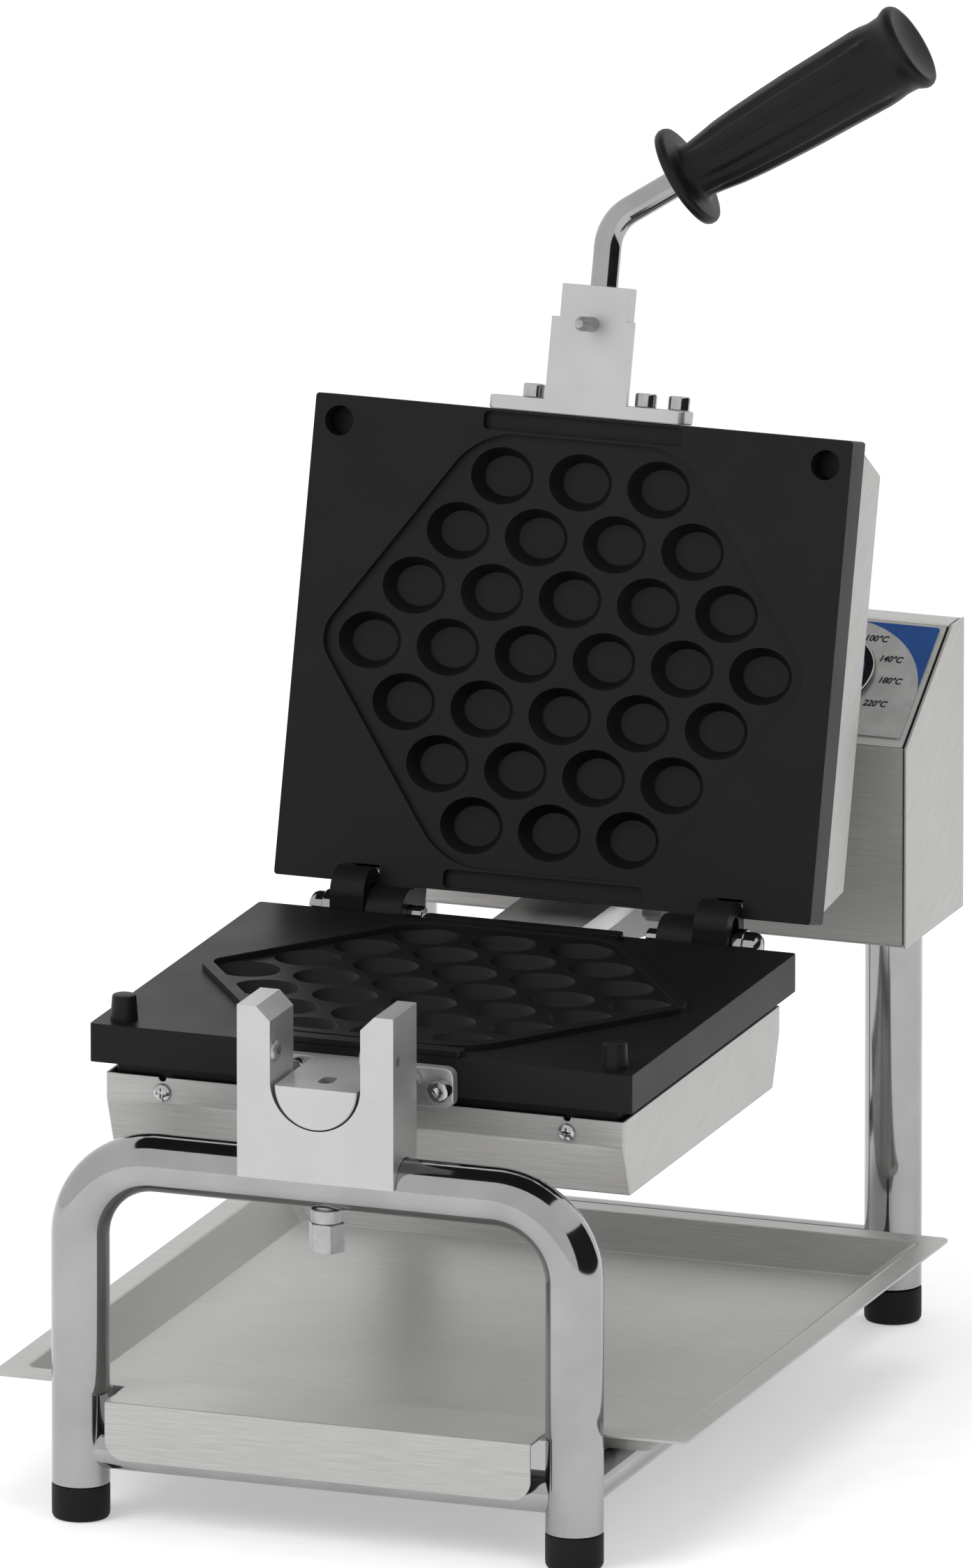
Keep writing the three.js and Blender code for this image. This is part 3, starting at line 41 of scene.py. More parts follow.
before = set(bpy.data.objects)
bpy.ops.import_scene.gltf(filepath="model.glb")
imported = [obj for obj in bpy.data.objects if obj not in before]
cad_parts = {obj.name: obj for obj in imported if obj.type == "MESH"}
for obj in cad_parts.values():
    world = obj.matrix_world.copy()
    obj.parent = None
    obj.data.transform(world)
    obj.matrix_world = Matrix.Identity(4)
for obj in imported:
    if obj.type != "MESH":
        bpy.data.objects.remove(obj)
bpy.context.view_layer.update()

# All pieces are drawn in millimetres on the machine's own axes, and set into the frame at the end.
# The frame's middle lies at CENTRE_Y on those axes.
MM = 0.001
CENTRE_Y = 19.45

# Where the mould turns, where the lid swings, and the two inner faces when shut
FLIP_Z = 204.8
HINGE = Vector((0.0, 57.7, 203.5))
LOWER_FACE_Z = 206.2
FACE_GAP = 0.3
UPPER_FACE_Z = LOWER_FACE_Z + FACE_GAP
LID_OPEN = math.radians(105)

WORLD = Matrix.Identity(4)
LOWER_HALF = Matrix.Translation((0, 0, LOWER_FACE_Z)) @ Matrix.Rotation(math.pi, 4, "Y")
UPPER_HALF = (
    Matrix.Translation(HINGE)
    @ Matrix.Rotation(-LID_OPEN, 4, "X")
    @ Matrix.Translation((0, -HINGE.y, UPPER_FACE_Z - HINGE.z))
)
HINGE_LINE = Matrix.Translation(HINGE)


# Settings
def linear(code):
    """Turns an sRGB hex colour into the linear values that a shader takes."""
    parts = [int(code[i:i + 2], 16) / 255 for i in (1, 3, 5)]
    return [c / 12.92 if c <= 0.04045 else ((c + 0.055) / 1.055) ** 2.4 for c in parts]


def length(name, description, millimetres):
    """A setting for a length, kept in metres and given here in millimetres."""
    return FloatProperty(
        name=name, description=description, default=millimetres * MM, min=0.0,
        precision=5, unit="LENGTH", subtype="DISTANCE",
    )


def colour(name, description, code):
    """A setting for a colour, given here as sRGB hex."""
    return FloatVectorProperty(
        name=name, description=description, default=linear(code), size=3, min=0.0, max=1.0,
        subtype="COLOR",
    )


def in_mm(group):
    """The lengths of a group in millimetres, for drawing."""
    return SimpleNamespace(**{key: round(getattr(group, key) / MM, 4) for key in group.__annotations__})


class WaffleLook(PropertyGroup):
    """Colours of the finishes, each from its darker to its lighter tone."""

    chrome_shade: colour("Chrome, dark", "Darker tone of the chrome plate", "#9a9a9a")
    chrome: colour("Chrome, light", "Lighter tone of the chrome plate", "#a3a3a3")
    stainless_shade: colour("Stainless, dark", "Darker tone of the brushed sheet", "#acaba9")
    stainless: colour("Stainless, light", "Lighter tone of the brushed sheet", "#bab9b7")
    aluminium_shade: colour("Aluminium, dark", "Darker tone of the blasted parts", "#bababa")
    aluminium: colour("Aluminium, light", "Lighter tone of the blasted parts", "#c0c0c0")
    coating_shade: colour("Coating, dark", "Darker tone of the non-stick coating", "#101010")
    coating: colour("Coating, light", "Lighter tone of the non-stick coating", "#131313")
    zinc_shade: colour("Screws, dark", "Darker tone of the screws", "#a8a8a8")
    zinc: colour("Screws, light", "Lighter tone of the screws", "#b4b4b4")
    grip_shade: colour("Grip, dark", "Darker tone of the black nylon", "#0e0e0e")
    grip: colour("Grip, light", "Lighter tone of the black nylon", "#131313")
    dial_shade: colour("Dial, dark", "Darker tone of the dial's grey", "#8f8f8e")
    dial: colour("Dial, light", "Lighter tone of the dial's grey", "#999998")
    dial_blue_shade: colour("Dial blue, dark", "Darker tone of the dial's blue", "#1c4078")
    dial_blue: colour("Dial blue, light", "Lighter tone of the dial's blue", "#1f4580")
    lens_shade: colour("Lamp, dark", "Darker tone of the lamp lens", "#7c0d0d")
    lens: colour("Lamp, light", "Lighter tone of the lamp lens", "#b51616")


class WaffleStand(PropertyGroup):
    """Sizes of the tube stand and its feet."""

    leg_x: length("Leg, across", "From the middle to a leg's axis", 111.7)
    leg_y: length("Leg, deep", "From the middle to a leg's axis", 202.9)
    tube_radius: length("Tube radius", "Outside of the leg tube", 12.5)
    crossbar_z: length("Crossbar height", "Axis of the front frame's top run", 159.7)
    bend_radius: length("Bend radius", "Of the front frame, at the tube's axis", 35)
    rail_radius: length("Rail radius", "Outside of the rail tube", 9)
    rail_z: length("Rail height", "Axis of the rails", 31.6)
    foot_height: length("Foot height", "From the floor to the tube's end", 15.5)
    foot_gap: length("Foot gap", "Between a foot and its tube", 0.3)


class WaffleTray(PropertyGroup):
    """Sizes of the drip tray."""

    sheet: length("Sheet", "Thickness of the tray's sheet", 1)
    bottom_z: length("Underside height", "Underside of the floor", 40.9)
    rim_z: length("Rim height", "Top of the rim", 55.5)
    half_width: length("Half width", "From the middle to the side rim's edge", 157.4)
    front_y: length("Front edge", "From the middle to the front rim's edge", 190.5)
    back_y: length("Back edge", "From the middle to the back rim's edge", 147.4)
    side_rim: length("Side rim", "Width of the flat rim at sides and back", 10.4)
    front_rim: length("Front rim", "Width of the flat rim at the front", 14.5)
    run_x: length("Side wall run", "How far the side walls lean in", 16.5)
    run_y: length("End wall run", "How far the end walls lean in", 14.5)
    floor_corner: length("Floor corner", "Corner radius of floor and mouth", 4)
    fold: length("Fold radius", "Inside radius of the folds", 1)
    tongue_half: length("Tongue half width", "From the middle to the tongue's side", 96.2)
    tongue_y: length("Tongue reach", "From the middle to the apron's face", 215.5)
    apron_z: length("Apron foot", "Lower edge of the apron", 30)
    apron_corner: length("Apron corner", "Corner radius at the apron's foot", 9)
    notch_radius: length("Leg notch", "Radius of the notch round a front leg", 15.9)


class WaffleCradle(PropertyGroup):
    """Sizes of the fork that carries the front journal, and of its screws."""

    half_width: length("Half width", "From the middle to the fork's side", 35.25)
    depth: length("Depth", "From front to back", 28.8)
    bottom_z: length("Foot height", "Underside of the fork", 161.5)
    top_z: length("Top height", "Top of the ears", 237.1)
    slot_radius: length("Slot radius", "Half the width of the slot", 20.4)
    chamfer: length("Mouth chamfer", "At the top of the slot", 6.2)
    edge: length("Edge", "Rounding of the outer edges", 0.5)
    screw_hole: length("Ear screw hole", "Radius of the hole through an ear", 2.4)
    bolt_radius: length("Bolt radius", "Shank below the crossbar", 5)
    bolt_head: length("Bolt head", "Radius over the head's corners", 8.15)
    bolt_head_z: length("Bolt head, low", "Underside of the head", 128.5)
    bolt_seat_z: length("Bolt head, high", "Top of the head", 141.3)
    bolt_collar: length("Bolt washer", "Radius of the washer under the tube", 6.8)
    screw_y: length("Ear screw, deep", "From the middle to the screw's axis", 211.5)
    screw_z: length("Ear screw height", "Axis of the screws in the ears", 216.9)
    screw_radius: length("Ear screw head", "Radius of the head", 4.8)
    screw_proud: length("Ear screw proud", "How far the head stands out", 1.9)
    socket_radius: length("Ear screw socket", "Radius over the socket's corners", 1.55)


class WafflePlate(PropertyGroup):
    """Sizes that the two cast plates share."""

    half_width: length("Half width", "From the middle to the plate's side", 122.6)
    front_y: length("Front edge", "From the middle to the front edge", 162.3)
    back_y: length("Back edge", "From the middle to the back edge", 46.1)
    corner: length("Corner", "Corner radius in plan", 1.5)
    slab: length("Slab", "Thickness of the outer slab", 17)
    base: length("Base", "Height of the stepped base behind it", 17)
    base_inset: length("Base step", "How far the base stands in", 9)
    edge: length("Edge", "Rounding of the outer edges", 0.35)
    rim_side: length("Rim from side", "Hexagon's points from the plate's sides", 10.1)
    rim_end: length("Rim from end", "Hexagon's flats from the plate's ends", 10.7)
    rim_band: length("Rim band", "Width of the raised hexagon", 5.5)
    rim_height: length("Rim height", "Height of the raised hexagon", 2.75)
    rim_corner: length("Rim corner", "Corner radius of the hexagon", 16)
    side_corner: length("Rim point", "Corner radius at the hexagon's points", 10)
    strip_half: length("Strip half length", "Raised strips at the plate's ends", 45)
    strip_width: length("Strip width", "Raised strips at the plate's ends", 7.2)
    strip_edge: length("Strip edge", "From the plate's end to the strip", 1.6)
    pocket_side: length("Pockets from side", "Outermost pocket from the plate's side", 33.35)
    pocket_end: length("Pockets from end", "Outermost pocket from the plate's end", 28.6)
    pocket_mouth: length("Pocket mouth", "Half the pocket's width at the face", 14.2)
    pocket_floor: length("Pocket floor", "Half the pocket's width at the floor", 10.8)
    pocket_depth: length("Pocket depth", "From the face to the floor", 7.8)
    pocket_lip: length("Pocket lip", "Rounding of the pocket's lip", 0.45)
    pocket_root: length("Pocket root", "Rounding where wall meets floor", 0.6)
    stud_side: length("Stud from side", "Studs from the plate's sides", 11.6)
    stud_front: length("Stud from front", "Studs from the front edge", 11.3)
    stud_base: length("Stud foot radius", "At the face", 6.1)
    stud_top: length("Stud top radius", "At the top", 5.2)
    stud_height: length("Stud height", "Above the face", 11)
    clearance: length("Clearance", "Round the parts that enter the upper plate", 0.4)


class WaffleCasing(PropertyGroup):
    """Sizes of the sheet casing behind each plate."""

    sheet: length("Sheet", "Thickness of the sheet", 1)
    inset: length("Inset", "From the plate's edge to the casing", 5.45)
    start: length("Start", "From the face to the casing's lip", 22.6)
    band: length("Band", "Height of the upright band", 11.8)
    total: length("Height", "From the face to the casing's top", 57.1)
    slope_in: length("Lean", "How far the front and back lean in", 8.7)
    bend: length("Bend", "Outside radius of the bends", 0.9)
    notch_radius: length("Screw notch", "Half-round notch in the lip above a screw", 1.8)
    screw_x: length("Screw, across", "From the middle to a casing screw", 91.5)
    screw_level: length("Screw level", "From the face to a casing screw", 29.1)
    screw_radius: length("Screw head", "Radius of the head", 4)
    screw_height: length("Screw head height", "Height of the head", 2)
    cross_width: length("Cross width", "Of the cross slot", 1.1)
    cross_length: length("Cross length", "Of the cross slot", 4.6)
    cross_depth: length("Cross depth", "Of the cross slot", 0.9)


class WaffleBracket(PropertyGroup):
    """Sizes of the front brackets, their screws, the locating pin and the rear shaft."""

    half_width: length("Half width", "From the middle to the flange's side", 44.5)
    thickness: length("Flange", "Thickness of the flange", 6)
    depth: length("Flange height", "From the flat face to the flange's foot", 17.5)
    corner: length("Flange corner", "Corner radius of the flange", 4)
    radius: length("Journal radius", "Half-round bar on the turning axis", 18.6)
    relief_radius: length("Turned-down radius", "Where the bar passes the ear screws", 19.8)
    relief_length: length("Turned-down length", "Where the bar passes the ear screws", 12)
    drop: length("Drop", "From the lower face to the lower bracket's flat", 3.1)
    journal_end: length("Journal end", "From the middle to the journal's front", 217.3)
    slot_y: length("Slot, deep", "From the middle to the locating slot", 202)
    slot_width: length("Slot width", "Of the locating slot", 6.6)
    slot_length: length("Slot length", "Of the locating slot", 11)
    slot_depth: length("Slot depth", "Of the locating slot", 16)
    stem_end: length("Stem end", "From the middle to the upper stem's front", 218.7)
    narrow: length("Stem nose length", "Where the upper stem is narrowed", 14.4)
    nose: length("Stem nose half width", "Where the upper stem is narrowed", 15)
    pin_radius: length("Pin radius", "Locating pin", 3.2)
    pin_proud: length("Pin proud", "Locating pin beyond the flat", 18)
    cap_radius: length("Cap screw radius", "Radius of the head", 4.8)
    cap_height: length("Cap screw height", "Height of the head", 6)
    cap_socket: length("Cap screw socket", "Radius over the socket's corners", 2.5)
    cap_socket_depth: length("Cap socket depth", "Depth of the socket", 3)
    inner_x: length("Inner screw, across", "From the middle to the inner screws", 25.5)
    inner_level: length("Inner screw level", "From the flat to the inner screws", 5.6)
    outer_x: length("Outer screw, across", "From the middle to the outer screw", 39.4)
    outer_level: length("Outer screw level", "From the flat to the outer screw", 9)
    shaft_radius: length("Rear shaft radius", "Turning shaft at the back", 20.5)
    shaft_full_y: length("Rear shaft, full", "Where the shaft becomes fully round", 158)
    shaft_end_y: length("Rear shaft end", "From the middle to the shaft's end", 192)


class WaffleHinge(PropertyGroup):
    """Sizes of the hinge at the back of the plates."""

    lug_inner: length("Lug, inner", "From the middle to a lug's inner side", 75.3)
    lug_outer: length("Lug, outer", "From the middle to a lug's outer side", 90.7)
    lug_radius: length("Lug radius", "Round end of a lug", 10.9)
    slot_rise: length("Slot rise", "How far the pin can rise in its slot", 8)
    barrel_inner: length("Barrel, inner", "From the middle to a barrel's inner side", 58)
    barrel_outer: length("Barrel, outer", "From the middle to a barrel's outer side", 75)
    barrel_radius: length("Barrel radius", "Outside of the barrel", 11)
    arm: length("Barrel arm", "Thickness of the arm to the barrel", 16)
    pin_radius: length("Pin radius", "Hinge pin's shank", 4)
    pin_fit: length("Pin fit", "Gap round the hinge pin", 0.3)
    pin_inner: length("Pin, inner", "From the middle to the pin's inner end", 51)
    collar_x: length("Collar", "From the middle to the collar", 91)
    collar_radius: length("Collar radius", "Collar under the pin's head", 7.5)
    head_x: length("Head", "From the middle to the pin's head", 96)
    head_radius: length("Head radius", "Pin's head", 6.5)
    end_x: length("Head end", "From the middle to the head's end", 103)


class WaffleHandle(PropertyGroup):
    """Sizes of the handle rod and its grip."""

    rod_radius: length("Rod radius", "Outside of the rod", 6)
    level: length("Rod level", "From the upper bracket's flat to the rod", 11.2)
    insert: length("Rod in bracket", "How deep the rod sits", 12)
    straight: length("Straight run", "From the stem's end to the bend's corner", 27.9)
    bend_radius: length("Bend radius", "At the rod's axis", 20)
    to_guard: length("To the guard", "From the bend's corner to the grip", 37.6)
    in_grip: length("Rod in grip", "How deep the rod enters the grip", 92)
    grip_length: length("Grip length", "From guard to end", 120)
    guard_radius: length("Guard radius", "Round flange at the grip's foot", 23)
    guard: length("Guard thickness", "Round flange at the grip's foot", 5)
    start_radius: length("Start radius", "Just behind the guard", 12.4)
    wide_radius: length("Wide radius", "Widest part of the grip", 18.3)
    neck_radius: length("Neck radius", "Before the flared end", 17.2)
    end_radius: length("End radius", "Flared end", 19.6)
    flute_depth: length("Flute depth", "Grooves along the grip", 1.5)
    flute_start: length("Flute start", "From the grip's foot", 12)
    flute_end: length("Flute end", "From the grip's foot", 104)


class WaffleBox(PropertyGroup):
    """Sizes of the control box."""

    half_width: length("Half width", "From the middle to the box's side", 130.4)
    front_y: length("Front", "From the middle to the front", 165.4)
    back_y: length("Back", "From the middle to the back", 240.4)
    bottom_z: length("Underside", "Height of the underside", 177.6)
    shoulder_z: length("Shoulder", "Where the slope starts", 267)
    top_z: length("Top", "Height of the top", 307.2)
    top_front_y: length("Top edge", "Where the slope ends", 224.7)
    sheet: length("Sheet", "Thickness of the sheet", 1.2)
    bend: length("Bend", "Outside radius of the bends", 1.8)
    seam: length("Seam", "Gap at the sides of the sloping panel", 1.2)
    cover_opening: length("Cover opening", "From the box's edge to the opening", 14)
    bearing_radius: length("Bearing radius", "Outside of the bearing's sleeve", 25.5)


class WafflePanel(PropertyGroup):
    """Sizes of the fittings on the sloping panel; up is measured along the slope."""

    label_left: length("Label, left", "From the middle to the label's left edge", 34)
    label_right: length("Label, right", "From the middle to the label's right edge", 126)
    label_foot: length("Label, foot", "Up the slope to the label's lower edge", 5.1)
    label_top: length("Label, top", "Up the slope to the label's upper edge", 69)
    label_corner: length("Label corner", "Corner radius", 1.5)
    film: length("Film", "Thickness of the label", 0.5)
    seat: length("Seat", "Gap below the label and the fittings", 0.3)
    knob_x: length("Knob, across", "From the middle to the knob", 82.7)
    up: length("Up the slope", "To the knob's axis", 37)
    number_size: length("Number size", "Height of the numbers", 4.7)
    circle_radius: length("Circle radius", "Edge of the dial's blue field", 43.7)
    circle_up: length("Circle, up", "Up the slope to the circle's middle", 26)
    skirt_radius: length("Skirt radius", "Knob's skirt", 22.4)
    skirt_height: length("Skirt height", "Knob's skirt", 3.5)
    cap_radius: length("Cap radius", "Knob's cap at the skirt", 17.5)
    top_radius: length("Cap top radius", "Knob's cap at the top", 15.5)
    knob_height: length("Knob height", "Up to the cap's top", 19)
    knob_lift: length("Knob lift", "Above the panel", 1.2)
    grip_width: length("Grip width", "Bar across the cap", 7)
    grip_height: length("Grip height", "Bar across the cap", 3)
    rocker_x: length("Rocker, across", "From the middle to the rocker", 84)
    fittings_up: length("Fittings up", "Up the slope to rocker and lamp", 36)
    rocker_width: length("Rocker width", "Over the frame", 31)
    rocker_height: length("Rocker height", "Over the frame", 25)
    rocker_flange: length("Rocker flange", "Thickness and width of the frame", 2)
    lamp_x: length("Lamp, across", "From the middle to the lamp", 40)
    lamp_radius: length("Lamp radius", "Lens", 6)
    lamp_flange: length("Lamp flange", "Radius of the flange", 8)


# Shapes
# How far a cutter runs past what it cuts
PAST = 1


def moved(x=0, y=0, z=0):
    return Matrix.Translation((x, y, z))


def span(sign, inner, outer):
    """Two distances from the middle, on the side that the sign gives, the lower one first."""
    return sorted((sign * inner, sign * outer))


def vertices_in(made, key="geom"):
    return [item for item in made[key] if isinstance(item, bmesh.types.BMVert)]


def block(x0, x1, y0, y1, z0, z1):
    """A box between two corners."""
    bm = bmesh.new()
    middle = moved((x0 + x1) / 2, (y0 + y1) / 2, (z0 + z1) / 2)
    size = Matrix.Diagonal((x1 - x0, y1 - y0, z1 - z0, 1))
    bmesh.ops.create_cube(bm, size=1, matrix=middle @ size)
    return bm


def to_axis(axis):
    """Turns a shape drawn along Z so that it lies along the axis named."""
    if axis == "X":
        return Matrix(((0, 0, 1, 0), (1, 0, 0, 0), (0, 1, 0, 0), (0, 0, 0, 1)))
    if axis == "Y":
        return Matrix(((1, 0, 0, 0), (0, 0, 1, 0), (0, 1, 0, 0), (0, 0, 0, 1)))
    return Matrix.Identity(4)


def prism(points, start, end, axis="Z"):
    """An outline with depth. For X the points are (y, z), for Y they are (x, z)."""
    bm = bmesh.new()
    ring = [bm.verts.new((a, b, start)) for a, b in points]
    made = bmesh.ops.extrude_face_region(bm, geom=[bm.faces.new(ring)])
    bmesh.ops.translate(bm, vec=(0, 0, end - start), verts=vertices_in(made))
    bmesh.ops.transform(bm, matrix=to_axis(axis), verts=bm.verts)
    bmesh.ops.recalc_face_normals(bm, faces=bm.faces)
    return bm


def round_edges(bm, edges, radius, segments=3):
    if edges:
        bmesh.ops.bevel(
            bm, geom=edges, offset=radius, offset_type="OFFSET", segments=segments,
            profile=0.5, affect="EDGES", material=-1, clamp_overlap=True,
        )


def round_corners(bm, corners, radius):
    """Rounds the corners of a flat outline."""
    bmesh.ops.bevel(
        bm, geom=corners, offset=radius, offset_type="OFFSET", segments=8,
        profile=0.5, affect="VERTICES", material=-1,
    )


def split(bm, point, across):
    """Adds a loop of edges where a plane passes through the shape."""
    everything = bm.verts[:] + bm.edges[:] + bm.faces[:]
    bmesh.ops.bisect_plane(bm, geom=everything, dist=1e-4, plane_co=point, plane_no=across)


def along(bm, axis, where=None):
    """The edges that run along an axis, and where given, only those whose middle passes the test."""
    index = "XYZ".index(axis)
    found = []
    for edge in bm.edges:
        start, end = (vert.co for vert in edge.verts)
        if abs((end - start).normalized()[index]) > 0.999 and (where is None or where((start + end) / 2)):
            found.append(edge)
    return found


def sharp(bm, degrees=35):
    """The edges whose faces meet at more than an angle."""
    limit = math.radians(degrees)
    return [e for e in bm.edges if len(e.link_faces) == 2 and e.calc_face_angle() > limit]


def soften(bm, radius, degrees=35):
    """Eases all the sharp edges of a shape."""
    round_edges(bm, sharp(bm, degrees), radius, 2)


def rounded_block(corners, axis, radius, edge=0.0):
    """A block with its corners rounded round one axis, then all its edges eased."""
    bm = block(*corners)
    round_edges(bm, along(bm, axis), radius, 6)
    if edge:
        soften(bm, edge)
    return bm


def turned(profile, place=WORLD, steps=64):
    """A lathe piece: the profile is (radius, height) pairs, spun round Z and then placed."""
    bm = bmesh.new()
    chain = [bm.verts.new((radius, 0, height)) for radius, height in profile]
    edges = [bm.edges.new(pair) for pair in zip(chain, chain[1:])]
    bmesh.ops.spin(
        bm, geom=chain + edges, cent=(0, 0, 0), axis=(0, 0, 1), angle=math.tau,
        steps=steps, use_merge=True, use_duplicate=False,
    )
    bmesh.ops.remove_doubles(bm, verts=bm.verts, dist=1e-4)
    bmesh.ops.dissolve_degenerate(bm, edges=bm.edges, dist=1e-5)
    bmesh.ops.transform(bm, matrix=place, verts=bm.verts)
    bmesh.ops.recalc_face_normals(bm, faces=bm.faces)
    return bm


def eased(radius, z0, z1, edge=0.4):
    """Profile of a round bar with eased ends."""
    outer = [(radius - edge, z0), (radius, z0 + edge), (radius, z1 - edge), (radius - edge, z1)]
    return [(0, z0), *outer, (0, z1)]


def bar(axis, radius, start, end, a, b, edge=0.4, steps=48):
    """A round bar along an axis; a and b are its place on the other two axes, in order."""
    offset = {"X": (0, a, b), "Y": (a, 0, b), "Z": (a, b, 0)}[axis]
    return turned(eased(radius, start, end, edge), moved(*offset) @ to_axis(axis), steps)


def loop_of(ring):
    """The edges between the vertices of a ring."""
    return list({e for v in ring for e in v.link_edges if e.other_vert(v) in ring})


def pipe(start, legs, radius, sides=40, steps=20):
    """A bent round tube of legs (run, bend radius, bend angle, bend axis); the first one runs up."""
    bm = bmesh.new()
    made = bmesh.ops.create_circle(bm, cap_ends=False, radius=radius, segments=sides, matrix=moved(*start))
    ring = made["verts"]
    first = ring[:]
    here, ahead = Vector(start), Vector((0, 0, 1))
    for run, bend_radius, angle, axis in legs:
        made = bmesh.ops.extrude_edge_only(bm, edges=loop_of(ring))
        ring = vertices_in(made)
        bmesh.ops.translate(bm, vec=ahead * run, verts=ring)
        here = here + ahead * run
        if not angle:
            continue
        axis = Vector(axis)
        centre = here + axis.cross(ahead) * bend_radius
        made = bmesh.ops.spin(
            bm, geom=ring + loop_of(ring), cent=centre, axis=axis, angle=angle, steps=steps,
            use_merge=False, use_duplicate=False,
        )
        ring = vertices_in(made, "geom_last")
        turn = Matrix.Rotation(angle, 3, axis)
        here = centre + turn @ (here - centre)
        ahead = turn @ ahead
    for end in (first, ring):
        bmesh.ops.contextual_create(bm, geom=end)
    bmesh.ops.recalc_face_normals(bm, faces=bm.faces)
    return bm


def as_object(bm, name):
    """Makes an object from a shape, which is used up."""
    mesh = bpy.data.meshes.new(name)
    bm.to_mesh(mesh)
    bm.free()
    made = bpy.data.objects.new(name, mesh)
    bpy.context.collection.objects.link(made)
    return made


def baked(thing):
    """A new shape from an object with its modifiers applied; the object is removed."""
    graph = bpy.context.evaluated_depsgraph_get()
    mesh = bpy.data.meshes.new_from_object(thing.evaluated_get(graph))
    bm = bmesh.new()
    bm.from_mesh(mesh)
    bpy.data.meshes.remove(mesh)
    bpy.data.objects.remove(thing)
    return bm


def combine(base, others, operation):
    """Joins or cuts a shape with others; all of them are used up, and the result comes back."""
    target = as_object(base, "target")
    tools = []
    for other in others:
        tools.append(as_object(other, "tool"))
        step = target.modifiers.new("step", "BOOLEAN")
        step.operation = operation
        step.solver = "EXACT"
        step.object = tools[-1]
    bpy.context.view_layer.update()
    used = [target.data, *(tool.data for tool in tools)]
    result = baked(target)
    for tool in tools:
        bpy.data.objects.remove(tool)
    for mesh in used:
        bpy.data.meshes.remove(mesh)
    bmesh.ops.remove_doubles(result, verts=result.verts, dist=1e-4)
    return result


def cut(base, *others):
    return combine(base, others, "DIFFERENCE")


def join(base, *others):
    return combine(base, others, "UNION")


def gather(*shapes):
    """Several separate shapes as one mesh, such as a row of cutters."""
    whole = bmesh.new()
    for shape in shapes:
        mesh = bpy.data.meshes.new("part")
        shape.to_mesh(mesh)
        shape.free()
        whole.from_mesh(mesh)
        bpy.data.meshes.remove(mesh)
    return whole


def finish_piece(bm, name, body, material, slot, node=None, place=WORLD, smooth=40):
    """Sets a shape into the frame as a finished piece on its body, in place of a packed one."""
    into_frame = Matrix.Scale(MM, 4) @ moved(y=-CENTRE_Y) @ place
    bmesh.ops.transform(bm, matrix=into_frame, verts=bm.verts)
    bmesh.ops.remove_doubles(bm, verts=bm.verts, dist=1e-7)
    bmesh.ops.recalc_face_normals(bm, faces=bm.faces)
    made = as_object(bm, name)
    made.data.shade_smooth()
    made.data.set_sharp_from_angle(angle=math.radians(smooth))
    made.data.materials.append(material_for(material))
    weighted = made.modifiers.new("even_shading", "WEIGHTED_NORMAL")
    weighted.keep_sharp = True
    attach(made, body)
    if node:
        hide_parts(node)
    return made


# Materials
# On the box's sides and the casings the brushed lines run 30 degrees off level
SIDE_GRAIN = (math.radians(30), 0, 0)


def add(tree, kind, links=None, **settings):
    """Adds a node: settings name its properties or input sockets, links map an input to a socket."""
    node = tree.nodes.new(kind)
    for key, value in settings.items():
        if hasattr(node, key):
            setattr(node, key, value)
        else:
            node.inputs[key.replace("_", " ")].default_value = value
    for key, source in (links or {}).items():
        tree.links.new(source, node.inputs[key])
    return node


def grain(tree, scale, detail, stretch=(1, 1, 1), turn=(0, 0, 0)):
    """Noise on object coordinates, in repeats per metre; stretch makes it longer along an axis."""
    place = add(tree, "ShaderNodeTexCoord")
    mapped = add(tree, "ShaderNodeMapping", {"Vector": place.outputs["Object"]}, vector_type="TEXTURE",
                 Rotation=turn, Scale=stretch)
    noise = add(tree, "ShaderNodeTexNoise", {"Vector": mapped.outputs["Vector"]}, Scale=scale, Detail=detail)
    return noise.outputs["Fac"]


def finish(name, tones, rough, patches, texture=None, bump=None, fine_tone=False, **shader):
    """A material with patches of tone and roughness, and where given a fine texture raised by a bump.

    patches and texture are settings of grain, and bump is the texture's strength and its depth in
    metres. With fine_tone the tone follows the texture instead of the patches.
    """
    material = bpy.data.materials.new(name)
    material.use_nodes = True
    tree = material.node_tree
    tree.nodes.clear()
    surface = add(tree, "ShaderNodeBsdfPrincipled", **shader)
    add(tree, "ShaderNodeOutputMaterial", {"Surface": surface.outputs["BSDF"]})
    cloud = grain(tree, *patches)
    fine = grain(tree, *texture) if texture else cloud
    ramp = add(tree, "ShaderNodeValToRGB", {"Fac": fine if fine_tone else cloud})
    for stop, position, tone in zip(ramp.color_ramp.elements, (0.35, 0.65), tones):
        stop.position = position
        stop.color = (*tone, 1)
    tree.links.new(ramp.outputs["Color"], surface.inputs["Base Color"])
    gloss = add(tree, "ShaderNodeMapRange", {"Value": cloud}, From_Min=0.3, From_Max=0.7,
                To_Min=rough[0], To_Max=rough[1])
    tree.links.new(gloss.outputs["Result"], surface.inputs["Roughness"])
    if bump:
        relief = add(tree, "ShaderNodeBump", {"Height": fine}, Strength=bump[0], Distance=bump[1])
        tree.links.new(relief.outputs["Normal"], surface.inputs["Normal"])
    return material


def brushed(look, stretch, turn=(0, 0, 0), metal=0.5):
    # Belt-brushed stainless sheet: fine lines one way, about 0.5 mm apart and 20 mm long
    return {"tones": (look.stainless_shade, look.stainless), "rough": (0.34, 0.4), "patches": (9, 2),
            "texture": (2000, 4, stretch, turn), "bump": (0.08, 0.00003), "fine_tone": True,
            "Metallic": metal}


